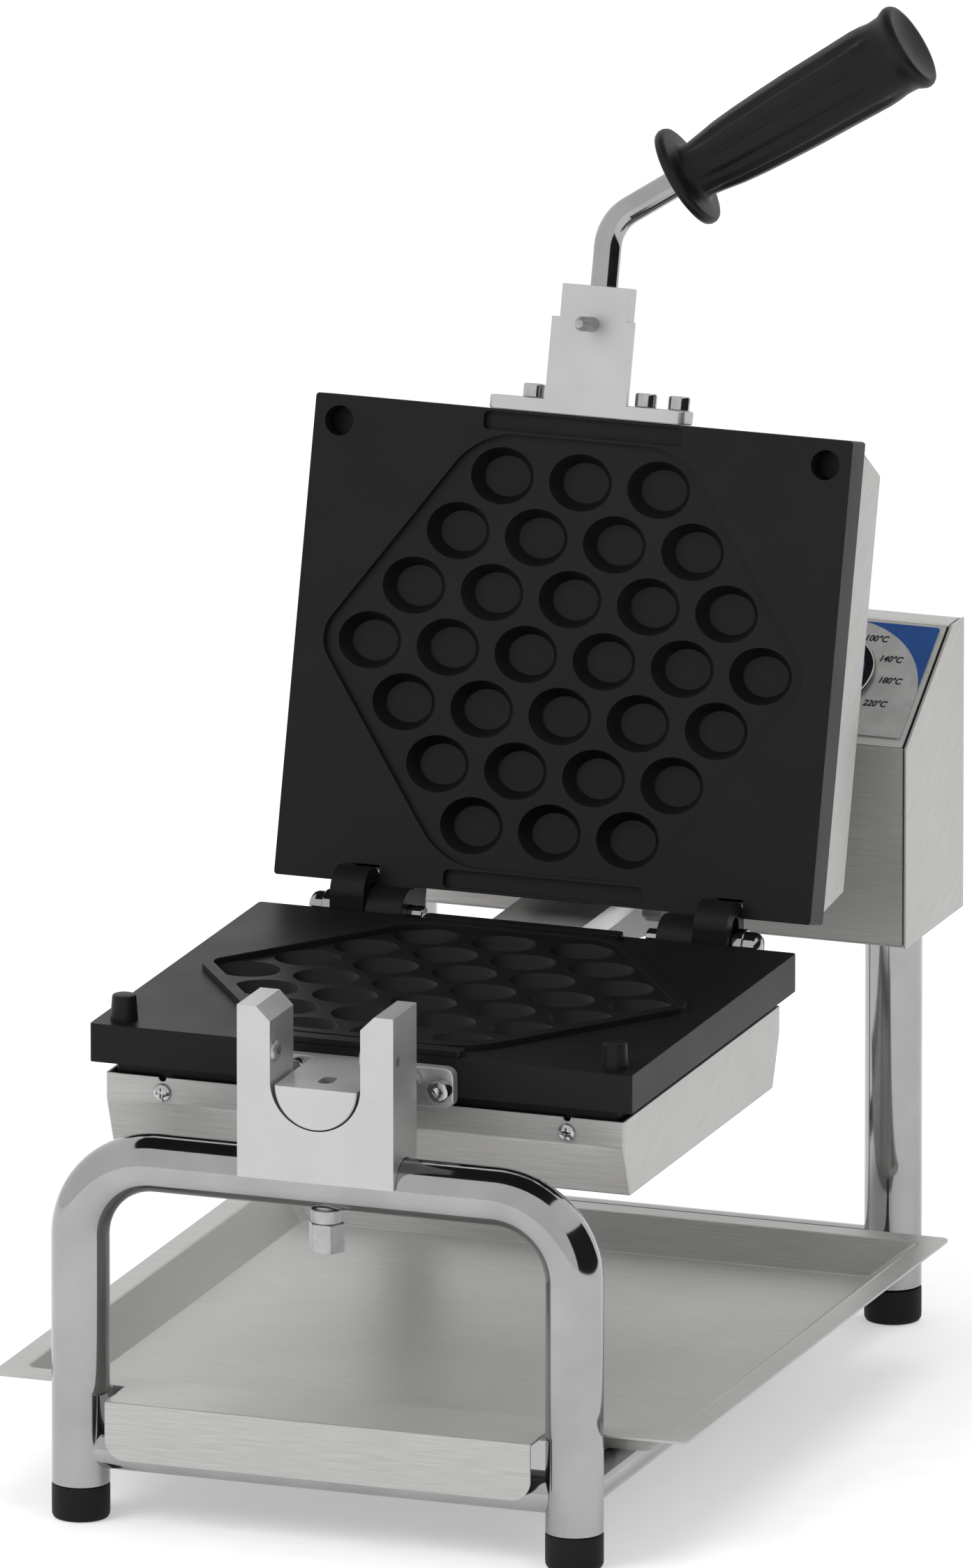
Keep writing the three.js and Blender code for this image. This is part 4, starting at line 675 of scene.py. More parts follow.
def moulded(dark, light, rough, grit, depth, specular=0.5):
    # Moulded plastic or rubber: even colour, a fine spark-eroded texture from the mould
    return {"tones": (dark, light), "rough": rough, "patches": (30, 2), "texture": (grit, 2),
            "bump": (0.2, depth), "Specular_IOR_Level": specular}


def printed(dark, light):
    # Silk-screened polyester film: flat ink under a matt skin
    return {"tones": (dark, light), "rough": (0.5, 0.56), "patches": (120, 2), "Specular_IOR_Level": 0.15}


def fastener(look, rough):
    # Zinc-plated or stainless fasteners: bright grey metal, a little uneven
    return {"tones": (look.zinc_shade, look.zinc), "rough": rough, "patches": (250, 1), "Metallic": 1.0}


def recipes(look):
    """What finish takes for each material."""
    nylon = (look.grip_shade, look.grip)
    return {
        # Bright chrome plate on drawn tube: nearly a mirror, with faint clouding from handling
        "polished_chrome": {"tones": (look.chrome_shade, look.chrome), "rough": (0.07, 0.1),
                            "patches": (35, 2), "Metallic": 1.0},
        "stainless_across": brushed(look, (40, 1, 1)),
        "stainless_deep": brushed(look, (1, 40, 1), SIDE_GRAIN),
        "stainless_panel": brushed(look, (40, 1, 1), metal=0.3),
        "stainless_casing": brushed(look, (40, 40, 1), SIDE_GRAIN),
        # Bead-blasted aluminium: even pale grey with a soft sparkle, grit of about 0.3 mm
        "blasted_aluminium": {"tones": (look.aluminium_shade, look.aluminium), "rough": (0.34, 0.38),
                              "patches": (40, 3), "texture": (3200, 2), "bump": (0.2, 0.00003),
                              "Metallic": 0.75},
        # Non-stick coating on a machined casting: satin black, faintly pebbled at about 0.5 mm
        "cast_coating": {"tones": (look.coating_shade, look.coating), "rough": (0.4, 0.46),
                         "patches": (25, 3), "texture": (1800, 2), "bump": (0.22, 0.00006),
                         "Specular_IOR_Level": 0.18},
        "zinc_plate": fastener(look, (0.1, 0.14)),
        "dull_steel": fastener(look, (0.42, 0.5)),
        "foot_rubber": moulded(linear("#0f0f0f"), linear("#141414"), (0.55, 0.68), 1500, 0.00005, 0.2),
        "black_nylon": moulded(*nylon, (0.42, 0.5), 1400, 0.00004),
        "grip_nylon": moulded(*nylon, (0.4, 0.48), 900, 0.00002, 0.2),
        "grey_nylon": moulded(linear("#7a7c7e"), linear("#8e9092"), (0.5, 0.6), 1200, 0.00005),
        # Near-black on the box's inner frame, a stainless sheet part: painted shade, so that the seams and
        # openings into the box read dark
        "painted_seam_shade": moulded(linear("#0b0b0b"), linear("#121212"), (0.7, 0.8), 800, 0.00002),
        "dial_grey": printed(look.dial_shade, look.dial),
        "dial_blue": printed(look.dial_blue_shade, look.dial_blue),
        "dial_ink": printed(linear("#1c1d22"), linear("#26272c")),
        # Clear red polycarbonate over an unlit lamp
        "lamp_lens": {"tones": (look.lens_shade, look.lens), "rough": (0.12, 0.2), "patches": (200, 1),
                      "Coat_Weight": 0.6, "Coat_Roughness": 0.05},
        # Heating element sheath, darkened by heat
        "sheath_steel": {"tones": (linear("#3a3430"), linear("#6a6460")), "rough": (0.45, 0.65),
                         "patches": (400, 4), "Metallic": 0.9},
        # White paper on the studio floor, matt
        "studio_paper": {"tones": (linear("#d0d0d0"), linear("#d4d4d4")), "rough": (0.85, 0.95),
                         "patches": (60, 2), "Specular_IOR_Level": 0.1},
        # Black studio flag: duvetyn, nearly lightless, with a slight nap
        "flag_cloth": {"tones": (linear("#262626"), linear("#303030")), "rough": (0.9, 1.0),
                       "patches": (400, 2), "Specular_IOR_Level": 0.1},
    }


def material_for(name):
    """Each material is made once, the first time that a piece asks for it."""
    if name in bpy.data.materials:
        return bpy.data.materials[name]
    return finish(name, **recipes(bpy.context.scene.waffle_look)[name])


# Stand and feet
SIDES = {"left": -1, "right": 1}
ENDS = {"front": -1, "rear": 1}


def build_stand(scene):
    size = in_mm(scene.waffle_stand)
    box = in_mm(scene.waffle_box)
    chrome = ("frame", "polished_chrome", "chromed_tube")
    low = size.foot_height + size.foot_gap
    quarter = math.pi / 2
    rise = size.crossbar_z - size.bend_radius - low
    run = 2 * (size.leg_x - size.bend_radius)
    corner = (size.bend_radius, quarter, (0, 1, 0))
    frame_tube = pipe((-size.leg_x, -size.leg_y, low), [(rise, *corner), (run, *corner), (rise, 0, 0, None)],
                      size.tube_radius)
    yield finish_piece(frame_tube, "bent_front_frame", *chrome, "front_frame")
    for side, sign in SIDES.items():
        leg = bar("Z", size.tube_radius, low, box.bottom_z - size.foot_gap, sign * size.leg_x, size.leg_y)
        yield finish_piece(leg, f"rear_leg_tube_{side}", *chrome, f"rear_leg_{side}")
        rail = bar("Y", size.rail_radius, -size.leg_y, size.leg_y, sign * size.leg_x, size.rail_z)
        yield finish_piece(rail, f"side_rail_tube_{side}", *chrome, f"side_rail_{side}")
    for end, sign in ENDS.items():
        rail = bar("X", size.rail_radius, -size.leg_x, size.leg_x, sign * size.leg_y, size.rail_z)
        yield finish_piece(rail, f"cross_rail_tube_{end}", *chrome, f"{end}_rail")


def build_feet(scene):
    size = in_mm(scene.waffle_stand)
    radius, height = size.tube_radius, size.foot_height
    # A rounded sole, a straight side and a small lip at the tube
    profile = [(0, 0), (radius - 2.2, 0), (radius - 0.8, 0.4), (radius - 0.1, 1.6), (radius, 3.4),
               (radius, height - 1), (radius - 0.3, height - 0.3), (radius - 1.2, height), (0, height)]
    for end, deep in ENDS.items():
        for side, across in SIDES.items():
            foot = turned(profile, moved(across * size.leg_x, deep * size.leg_y, 0))
            yield finish_piece(foot, f"rubber_foot_{end}_{side}", "frame", "foot_rubber",
                               "rubber", f"foot_{end}_{side}")


# Drip tray
def boundary_of(bm):
    return [edge for edge in bm.edges if edge.is_boundary]


def widen(bm, across, front, back, rise):
    """Extrudes the outer edge outwards and upwards, keeping its corner radius."""
    verts = vertices_in(bmesh.ops.extrude_edge_only(bm, edges=boundary_of(bm)))
    middle = sum(v.co.y for v in verts) / len(verts)
    for vert in verts:
        vert.co.x += math.copysign(across, vert.co.x)
        vert.co.y += back if vert.co.y > middle else -front
        vert.co.z += rise


def build_tray(scene):
    size = in_mm(scene.waffle_tray)
    stand = in_mm(scene.waffle_stand)
    floor_x = size.half_width - size.side_rim - size.run_x
    floor_front = -size.front_y + size.front_rim + size.run_y
    floor_back = size.back_y - size.side_rim - size.run_y
    floor_z = size.bottom_z + size.sheet
    bm = bmesh.new()
    floor = (moved(y=(floor_front + floor_back) / 2, z=floor_z)
             @ Matrix.Diagonal((2 * floor_x, floor_back - floor_front, 1, 1)))
    bmesh.ops.create_grid(bm, x_segments=1, y_segments=1, size=0.5, matrix=floor)
    round_corners(bm, bm.verts[:], size.floor_corner)
    widen(bm, size.run_x, size.run_y, size.run_y, size.rim_z - floor_z)
    widen(bm, size.side_rim, size.front_rim, size.side_rim, 0)
    for x in (-size.tongue_half, size.tongue_half):
        split(bm, (x, 0, 0), (1, 0, 0))
    # The tongue runs forward from the rim's middle part, and its apron is folded down from it
    near = 0.01
    lip = [e for e in boundary_of(bm)
           if all(v.co.y < -size.front_y + near and abs(v.co.x) < size.tongue_half + near for v in e.verts)]
    tongue = vertices_in(bmesh.ops.extrude_edge_only(bm, edges=lip))
    bmesh.ops.translate(bm, vec=(0, size.front_y - size.tongue_y, 0), verts=tongue)
    fold = [e for e in boundary_of(bm) if all(v in tongue for v in e.verts)]
    apron = vertices_in(bmesh.ops.extrude_edge_only(bm, edges=fold))
    bmesh.ops.translate(bm, vec=(0, 0, size.apron_z - size.rim_z), verts=apron)
    corners = [v for v in apron if abs(v.co.x) > size.tongue_half - near]
    round_corners(bm, corners, size.apron_corner)
    round_edges(bm, sharp(bm, 25), size.fold, 4)
    bmesh.ops.recalc_face_normals(bm, faces=bm.faces)
    if max(bm.faces, key=lambda face: face.calc_area()).normal.z < 0:
        bmesh.ops.reverse_faces(bm, faces=bm.faces)
    bmesh.ops.solidify(bm, geom=bm.faces[:], thickness=size.sheet)
    low, high = size.rim_z - size.sheet - 3 * PAST, size.rim_z + 4 * PAST
    tray = cut(bm, *(bar("Z", size.notch_radius, low, high, sign * stand.leg_x, -stand.leg_y)
                     for sign in SIDES.values()))
    yield finish_piece(tray, "folded_drip_tray", "tray", "stainless_across", "stainless", "drip_tray")


# Cradle
# Gap round the crossbar in the fork, and below a screw's head
TUBE_FIT = 0.3
HEAD_GAP = 0.1


def build_cradle(scene):
    size = in_mm(scene.waffle_cradle)
    stand = in_mm(scene.waffle_stand)
    front, back = -stand.leg_y - size.depth / 2, -stand.leg_y + size.depth / 2
    body = block(-size.half_width, size.half_width, front, back, size.bottom_z, size.top_z)
    ends = (front - PAST, back + PAST)
    slot = cut(body, bar("Y", size.slot_radius, *ends, 0, FLIP_Z, steps=96),
               block(-size.slot_radius, size.slot_radius, *ends, FLIP_Z, size.top_z + PAST))
    mouth = along(slot, "Y", lambda at: at.z > size.top_z - 1 and abs(at.x) < size.slot_radius + 1)
    round_edges(slot, mouth, size.chamfer, 1)
    reach = size.half_width + PAST
    fork = cut(slot, bar("X", stand.tube_radius + TUBE_FIT, -reach, reach, -stand.leg_y, stand.crossbar_z),
               bar("X", size.screw_hole, -reach, reach, -size.screw_y, size.screw_z, steps=32))
    soften(fork, size.edge, 40)
    yield finish_piece(fork, "fork_block", "frame", "blasted_aluminium", "aluminium", "cradle_block")

    head = turned([(0, size.bolt_head_z), (size.bolt_head, size.bolt_head_z),
                   (size.bolt_head, size.bolt_seat_z), (0, size.bolt_seat_z)], steps=6)
    soften(head, 0.6)
    tube_low = stand.crossbar_z - stand.tube_radius
    washer = turned(eased(size.bolt_collar, size.bolt_seat_z, tube_low, 0.3))
    shank = turned(eased(size.bolt_radius, size.bolt_seat_z - 1, tube_low + 3, 0.3))
    bolt = gather(head, washer, shank)
    yield finish_piece(bolt, "cradle_bolt_head", "frame", "dull_steel", "zinc_plated", "cradle_bolt",
                       moved(0, -stand.leg_y, 0))
    seat = size.slot_radius - HEAD_GAP
    proud, radius = size.screw_proud, size.screw_radius
    for side, sign in SIDES.items():
        dome = [(0, seat - proud), (radius * 0.55, seat - proud), (radius * 0.86, seat - proud * 0.72),
                (radius, seat - proud * 0.25), (radius, seat + 0.4), (0, seat + 0.4)]
        socket = turned([(0, seat - proud - 1), (size.socket_radius, seat - proud - 1),
                         (size.socket_radius, seat - 0.6), (0, seat - 0.6)], steps=6)
        place = (moved(0, -size.screw_y, size.screw_z)
                 @ Matrix.Rotation(sign * math.pi / 2, 4, "Y"))
        yield finish_piece(cut(turned(dome, steps=48), socket), f"ear_button_head_{side}", "frame",
                           "dull_steel", "zinc_plated", f"ear_screw_{side}", place)


# The two cast plates; each half is drawn with its inner face at zero and its back at positive Z
POCKET_ROWS = (3, 4, 5, 6, 5, 4, 3)
# A pocket's length over its width, and how far the hexagon's slanted sides run in per unit up
POCKET_FLATTEN = 0.86
RIM_SLANT = 0.708
RIM_EDGE = 0.5
# How deep the pieces that make up a plate run into each other
SUNK = 3


def plate_frame(size):
    """Middle of the plate and half its depth."""
    return (size.back_y - size.front_y) / 2, (size.back_y + size.front_y) / 2


def hexagon(size, inset, z0, z1):
    """The long hexagon of the rim, as a prism with rounded corners."""
    middle, half = plate_frame(size)
    tall = half - size.rim_end - inset
    wide = size.half_width - size.rim_side - inset * math.hypot(1, RIM_SLANT)
    top = wide - RIM_SLANT * tall
    bm = prism([(-top, middle - tall), (top, middle - tall), (wide, middle), (top, middle + tall),
                (-top, middle + tall), (-wide, middle)], z0, z1)
    inwards = wide - 1
    round_edges(bm, along(bm, "Z", lambda at: abs(at.x) < inwards), size.rim_corner - inset, 8)
    round_edges(bm, along(bm, "Z", lambda at: abs(at.x) > inwards), size.side_corner - inset, 8)
    return bm


def strips(size, grow, z0, z1):
    """The two straight strips along the plate's ends."""
    middle, half = plate_frame(size)
    reach = half - size.strip_edge
    made = []
    for low in (middle - reach, middle + reach - size.strip_width):
        made.append(rounded_block((-size.strip_half - grow, size.strip_half + grow, low - grow,
                                   low + size.strip_width + grow, z0, z1), "Z", 2 + grow))
    return made


def pockets(size, level):
    """Cutters for the oval pockets, a little proud of the face: rounded lip, steep wall, flat floor."""
    middle, half = plate_frame(size)
    pitch_x = 2 * (size.half_width - size.pocket_side) / (max(POCKET_ROWS) - 1)
    pitch_y = 2 * (half - size.pocket_end) / (len(POCKET_ROWS) - 1)
    lip, root, mouth = size.pocket_lip, size.pocket_root, size.pocket_mouth
    floor, depth = size.pocket_floor, size.pocket_depth
    diagonal = 1 - math.sqrt(0.5)
    profile = [(0, 0.02), (mouth + lip, 0.02), (mouth + lip * diagonal, lip * diagonal), (mouth, lip),
               (floor + root * diagonal, depth - root), (floor - root, depth), (0, depth)]
    made = []
    for row, count in enumerate(POCKET_ROWS):
        y = middle + (row - (len(POCKET_ROWS) - 1) / 2) * pitch_y
        for column in range(count):
            x = (column - (count - 1) / 2) * pitch_x
            place = moved(x, y, level - 0.05) @ Matrix.Diagonal((1, POCKET_FLATTEN, 1, 1))
            made.append(turned(profile, place, 48))
    return made


def stud_places(size):
    x, y = size.half_width - size.stud_side, -size.front_y + size.stud_front
    return [(-x, y), (x, y)]


def plate_blank(size):
    """Slab and stepped base, with eased edges."""
    width, front, back = size.half_width, -size.front_y, size.back_y
    slab = rounded_block((-width, width, front, back, 0, size.slab), "Z", size.corner, size.edge)
    step = size.base_inset
    base = rounded_block((-width + step, width - step, front + step, back - step, size.slab - SUNK,
                          size.slab + size.base), "Z", size.corner, size.edge)
    return slab, base


def lug_shape(size, hinge, start, end, top, axis):
    """One lower hinge lug: a slotted arm behind the plate."""
    radius = hinge.lug_radius
    end_piece = block(start, end, HINGE.y - radius, HINGE.y + radius, top - radius, axis + radius)
    round_edges(end_piece, along(end_piece, "X"), radius - 0.05, 12)
    root = size.back_y - SUNK
    arm = prism([(root, axis), (HINGE.y, axis), (HINGE.y, axis + radius), (root, size.slab)],
                start + 0.01, end - 0.01, "X")
    wide = hinge.pin_radius + hinge.pin_fit
    ends = (start - PAST, end + PAST)
    slot = block(*ends, HINGE.y - wide, HINGE.y + wide, top, axis)
    holes = [bar("X", wide, *ends, HINGE.y, z) for z in (top, axis)]
    return cut(join(end_piece, arm), slot, *holes)


def build_lower_plate(scene):
    size = in_mm(scene.waffle_plate)
    hinge = in_mm(scene.waffle_hinge)
    slab, base = plate_blank(size)
    rise = size.rim_height
    rim = cut(hexagon(size, 0, -rise, 2), hexagon(size, size.rim_band, -rise - 2, 0.0))
    ribs = strips(size, 0, -rise, 2)
    for raised, degrees in ((rim, 60), *((rib, 35) for rib in ribs)):
        crest = [e for e in sharp(raised, degrees) if all(v.co.z < -rise + 0.1 for v in e.verts)]
        round_edges(raised, crest, RIM_EDGE, 2)
    tip, foot, tall = size.stud_top, size.stud_base, size.stud_height
    profile = [(0, -tall), (tip - 1, -tall), (tip - 0.3, -tall + 0.3), (tip, -tall + 1), (foot, 2), (0, 2)]
    studs = [turned(profile, moved(x, y)) for x, y in stud_places(size)]
    axis = LOWER_FACE_Z - HINGE.z
    top = axis - hinge.slot_rise
    for sign in SIDES.values():
        ends = span(sign, hinge.lug_inner, hinge.lug_outer)
        studs.append(lug_shape(size, hinge, *ends, top, axis))
    whole = join(slab, base, rim, *ribs, *studs)
    plate = cut(whole, gather(*pockets(size, 0)))
    yield finish_piece(plate, "lower_casting", "mould", "cast_coating", "coated_cast",
                       "lower_plate", LOWER_HALF, 32)


def build_upper_plate(scene):
    size = in_mm(scene.waffle_plate)
    hinge = in_mm(scene.waffle_hinge)
    slab, base = plate_blank(size)
    depth = size.rim_height + FACE_GAP
    cutters = [hexagon(size, -size.clearance, -2, depth), *strips(size, size.clearance, -2, depth)]
    cutters += [bar("Z", size.stud_base + size.clearance, -2, size.stud_height + FACE_GAP, x, y)
                for x, y in stud_places(size)]
    # Notches that leave room round the lower plate's lugs
    notch, gap = 8, 0.7
    for sign in SIDES.values():
        ends = span(sign, hinge.lug_inner - gap, hinge.lug_outer + gap)
        cutters.append(block(*ends, size.back_y - notch, HINGE.y, -2, size.slab + 2))
    axis = HINGE.z - UPPER_FACE_Z
    arms, bores = [], []
    for sign in SIDES.values():
        ends = span(sign, hinge.barrel_inner, hinge.barrel_outer)
        through = span(sign, hinge.barrel_inner - PAST, hinge.barrel_outer + PAST)
        arms.append(block(*ends, size.back_y - SUNK, HINGE.y, 0, hinge.arm))
        arms.append(bar("X", hinge.barrel_radius, *ends, HINGE.y, axis))
        bores.append(bar("X", hinge.pin_radius + hinge.pin_fit, *through, HINGE.y, axis))
    whole = cut(join(slab, base), *cutters)
    plate = cut(whole, gather(*pockets(size, depth)))
    hinged = cut(join(plate, *arms), *bores)
    yield finish_piece(hinged, "upper_casting", "lid", "cast_coating", "coated_cast",
                       "upper_plate", UPPER_HALF, 32)


# Casings with their screws
# For each half: its body, its place, and the side of its outer bracket screw
HALVES = {"lower": ("mould", LOWER_HALF, -1), "upper": ("lid", UPPER_HALF, 1)}


def casing_shell(size, plate, shrink):
    """The casing's outside, or its inside when shrunk by the sheet."""
    width = plate.half_width - size.inset - shrink
    front = -plate.front_y + size.inset + shrink
    back = plate.back_y - size.inset - shrink
    start = size.start - 3 * PAST if shrink else size.start
    turn, top, lean = size.start + size.band, size.total - shrink, size.slope_in
    outline = [(front, start), (back, start), (back, turn), (back - lean, top), (front + lean, top),
               (front, turn)]
    bm = prism(outline, -width, width, "X")
    folded = [e for e in sharp(bm, 10) if max(v.co.z for v in e.verts) > start + 0.1]
    round_edges(bm, folded, max(size.bend - shrink, 0.4), 3)
    return bm


def build_casings(scene):
    size = in_mm(scene.waffle_casing)
    plate = in_mm(scene.waffle_plate)
    front = -plate.front_y + size.inset
    seat = front - HEAD_GAP
    tip, radius = seat - size.screw_height, size.screw_radius
    long, thin, deep = size.cross_length / 2, size.cross_width / 2, tip + size.cross_depth
    for half, (body, place, _) in HALVES.items():
        notches = [bar("Y", size.notch_radius, front - PAST, front + size.sheet + PAST,
                       sign * size.screw_x, size.start, edge=0, steps=32) for sign in SIDES.values()]
        shell = cut(casing_shell(size, plate, 0), casing_shell(size, plate, size.sheet), *notches)
        yield finish_piece(shell, f"{half}_sheet_casing", body, "stainless_casing", "stainless",
                           f"{half}_casing", place)
        for side, sign in SIDES.items():
            head = turned([(0, tip), (radius * 0.6, tip + 0.15), (radius * 0.9, tip + 0.8), (radius, seat),
                           (0, seat)], to_axis("Y"), 40)
            screw = cut(head, block(-long, long, tip - PAST, deep, -thin, thin),
                        block(-thin, thin, tip - PAST, deep, -long, long))
            spot = moved(sign * size.screw_x, 0, size.screw_level)
            yield finish_piece(screw, f"{half}_cross_head_{side}", body, "zinc_plate",
                               "zinc_plated", f"{half}_casing_screw_{side}", place @ spot)


# Brackets, their screws and the locating pin
# Gap between a plate and its bracket, and how far the cutter for a flat side reaches
BRACKET_GAP = 0.2
FLAT_REACH = 30


def cap_screw_places(size, drop, outer_side):
    """Across, and down from the inner face, for each of a bracket's screws."""
    return {
        "left": (-size.inner_x, drop + size.inner_level),
        "right": (size.inner_x, drop + size.inner_level),
        "outer": (outer_side * size.outer_x, drop + size.outer_level),
    }


def flanged_bar(size, drop, start, seat):
    """Flange on the plate's edge with a half-round bar running forward from it."""
    flange = rounded_block((-size.half_width, size.half_width, seat - size.thickness, seat, drop,
                            drop + size.depth), "Y", size.corner, 0.8)
    rod = cut(bar("Y", size.radius, start, seat - size.thickness / 2, 0, drop, 0.6, 96),
              block(-size.radius - PAST, size.radius + PAST, start - PAST, seat + PAST,
                    drop - size.radius - PAST, drop))
    return flange, rod


def turned_down(size, start, axis_z):
    """The ring that is turned off the bar's front end."""
    end = start + size.relief_length
    outer = bar("Y", size.relief_radius + 5, start - PAST, end, 0, axis_z, steps=96)
    return cut(outer, bar("Y", size.relief_radius, start - 2 * PAST, end + PAST, 0, axis_z, steps=96))


def build_brackets(scene):
    size = in_mm(scene.waffle_bracket)
    plate = in_mm(scene.waffle_plate)
    handle = in_mm(scene.waffle_handle)
    seat = -plate.front_y - BRACKET_GAP
    start = -size.journal_end
    flange, rod = flanged_bar(size, size.drop, start, seat)
    slot = rounded_block((-size.slot_width / 2, size.slot_width / 2, -size.slot_y - size.slot_length / 2,
                          -size.slot_y + size.slot_length / 2, size.drop - 2, size.drop + size.slot_depth),
                         "Z", size.slot_width / 2 - 0.02)
    lower = cut(join(flange, rod), slot, turned_down(size, start, LOWER_FACE_Z - FLIP_Z))
    soften(lower, 0.3, 50)
    yield finish_piece(lower, "lower_journal_bracket", "mould", "blasted_aluminium", "aluminium",
                       "lower_bracket", LOWER_HALF)

    start = -size.stem_end
    flange, rod = flanged_bar(size, 0, start, seat)
    edge = start + size.narrow
    cheeks = [block(*span(sign, size.nose, FLAT_REACH), start - PAST, edge, -PAST, size.radius + PAST)
              for sign in SIDES.values()]
    hole = bar("Y", handle.rod_radius + 0.2, start - PAST, start + handle.insert, 0, handle.level)
    upper = cut(join(flange, rod), *cheeks, hole, turned_down(size, start, FLIP_Z - UPPER_FACE_Z))
    soften(upper, 0.3, 50)
    yield finish_piece(upper, "upper_stem_bracket", "lid", "blasted_aluminium", "aluminium",
                       "upper_bracket", UPPER_HALF)

    radius, proud = size.pin_radius, size.pin_proud
    pin = turned([(0, -proud), (radius * 0.4, -proud), (radius * 0.6, -proud + 0.3), (radius, -proud + 4),
                  (radius, 2), (0, 2)], moved(0, -size.slot_y, 0), 40)
    yield finish_piece(pin, "locating_dowel", "lid", "dull_steel", "zinc_plated",
                       "locating_pin", UPPER_HALF)


def build_cap_screws(scene):
    size = in_mm(scene.waffle_bracket)
    plate = in_mm(scene.waffle_plate)
    seat = -plate.front_y - BRACKET_GAP - size.thickness - HEAD_GAP
    tip = seat - size.cap_height
    radius, well, floor = size.cap_radius, size.cap_socket, tip + size.cap_socket_depth
    for half, (body, place, outer_side) in HALVES.items():
        drop = size.drop if half == "lower" else 0
        for label, (x, level) in cap_screw_places(size, drop, outer_side).items():
            head = turned([(0, tip), (radius - 0.9, tip), (radius - 0.25, tip + 0.3), (radius, tip + 0.9),
                           (radius, seat - 0.3), (radius - 0.3, seat), (0, seat)], to_axis("Y"), 48)
            socket = turned([(0, tip - PAST), (well, tip - PAST), (well, floor), (0, floor + 0.8)],
                            to_axis("Y"), 6)
            spot = moved(x, 0, level)
            yield finish_piece(cut(head, socket), f"{half}_cap_head_{label}", body, "zinc_plate",
                               "zinc_plated", f"{half}_bracket_screw_{label}", place @ spot)


# Rear shaft and hinge
def build_shaft(scene):
    size = in_mm(scene.waffle_bracket)
    plate = in_mm(scene.waffle_plate)
    start = plate.back_y + BRACKET_GAP + 0.1
    flat_top = LOWER_FACE_Z - size.drop
    flange = rounded_block((-size.half_width, size.half_width, start, start + size.thickness,
                            flat_top - size.depth, flat_top), "Y", size.corner, 0.8)
    rod = bar("Y", size.shaft_radius, start + size.thickness / 2, size.shaft_end_y, 0, FLIP_Z, 0.8, 96)
    wide, high = (-FLAT_REACH, FLAT_REACH), FLIP_Z + FLAT_REACH
    flat = block(*wide, start + size.thickness, size.shaft_full_y, FLIP_Z - 0.1, high)
    top = block(*wide, start - PAST, start + size.thickness, flat_top, high)
    shaft = cut(join(flange, rod), flat, top)
    soften(shaft, 0.5, 50)
    yield finish_piece(shaft, "turned_rear_shaft", "mould", "blasted_aluminium", "aluminium",
                       "rear_shaft")


def build_hinge_pins(scene):
    size = in_mm(scene.waffle_hinge)
    pin, collar, head = size.pin_radius, size.collar_radius, size.head_radius
    start, end = size.pin_inner, size.end_x
    dome = (end - size.head_x) / 2
    # From the pin's inner end over the collar to the domed head
    profile = [(0, start), (pin - 0.5, start), (pin, start + 0.5), (pin, size.collar_x),
               (collar - 0.4, size.collar_x), (collar, size.collar_x + 0.4), (collar, size.head_x - 0.4),
               (collar - 0.4, size.head_x), (head, size.head_x), (head, end - dome),
               (head * 0.92, end - dome * 0.55), (head * 0.71, end - dome * 0.15), (head * 0.4, end),
               (0, end)]
    for side, sign in SIDES.items():
        place = HINGE_LINE @ Matrix.Rotation(sign * math.pi / 2, 4, "Y")
        yield finish_piece(turned(profile, steps=48), f"hinge_bolt_{side}", "lid",
                           "polished_chrome", "chromed_tube", f"hinge_pin_{side}", place)


# Handle rod and grip
HANDLE_BEND = math.radians(56)
FLUTES = 10
FLUTE_RINGS = 40
# Each end of a flute fades out over one part in this many of its length
FLUTE_TAPER = 8


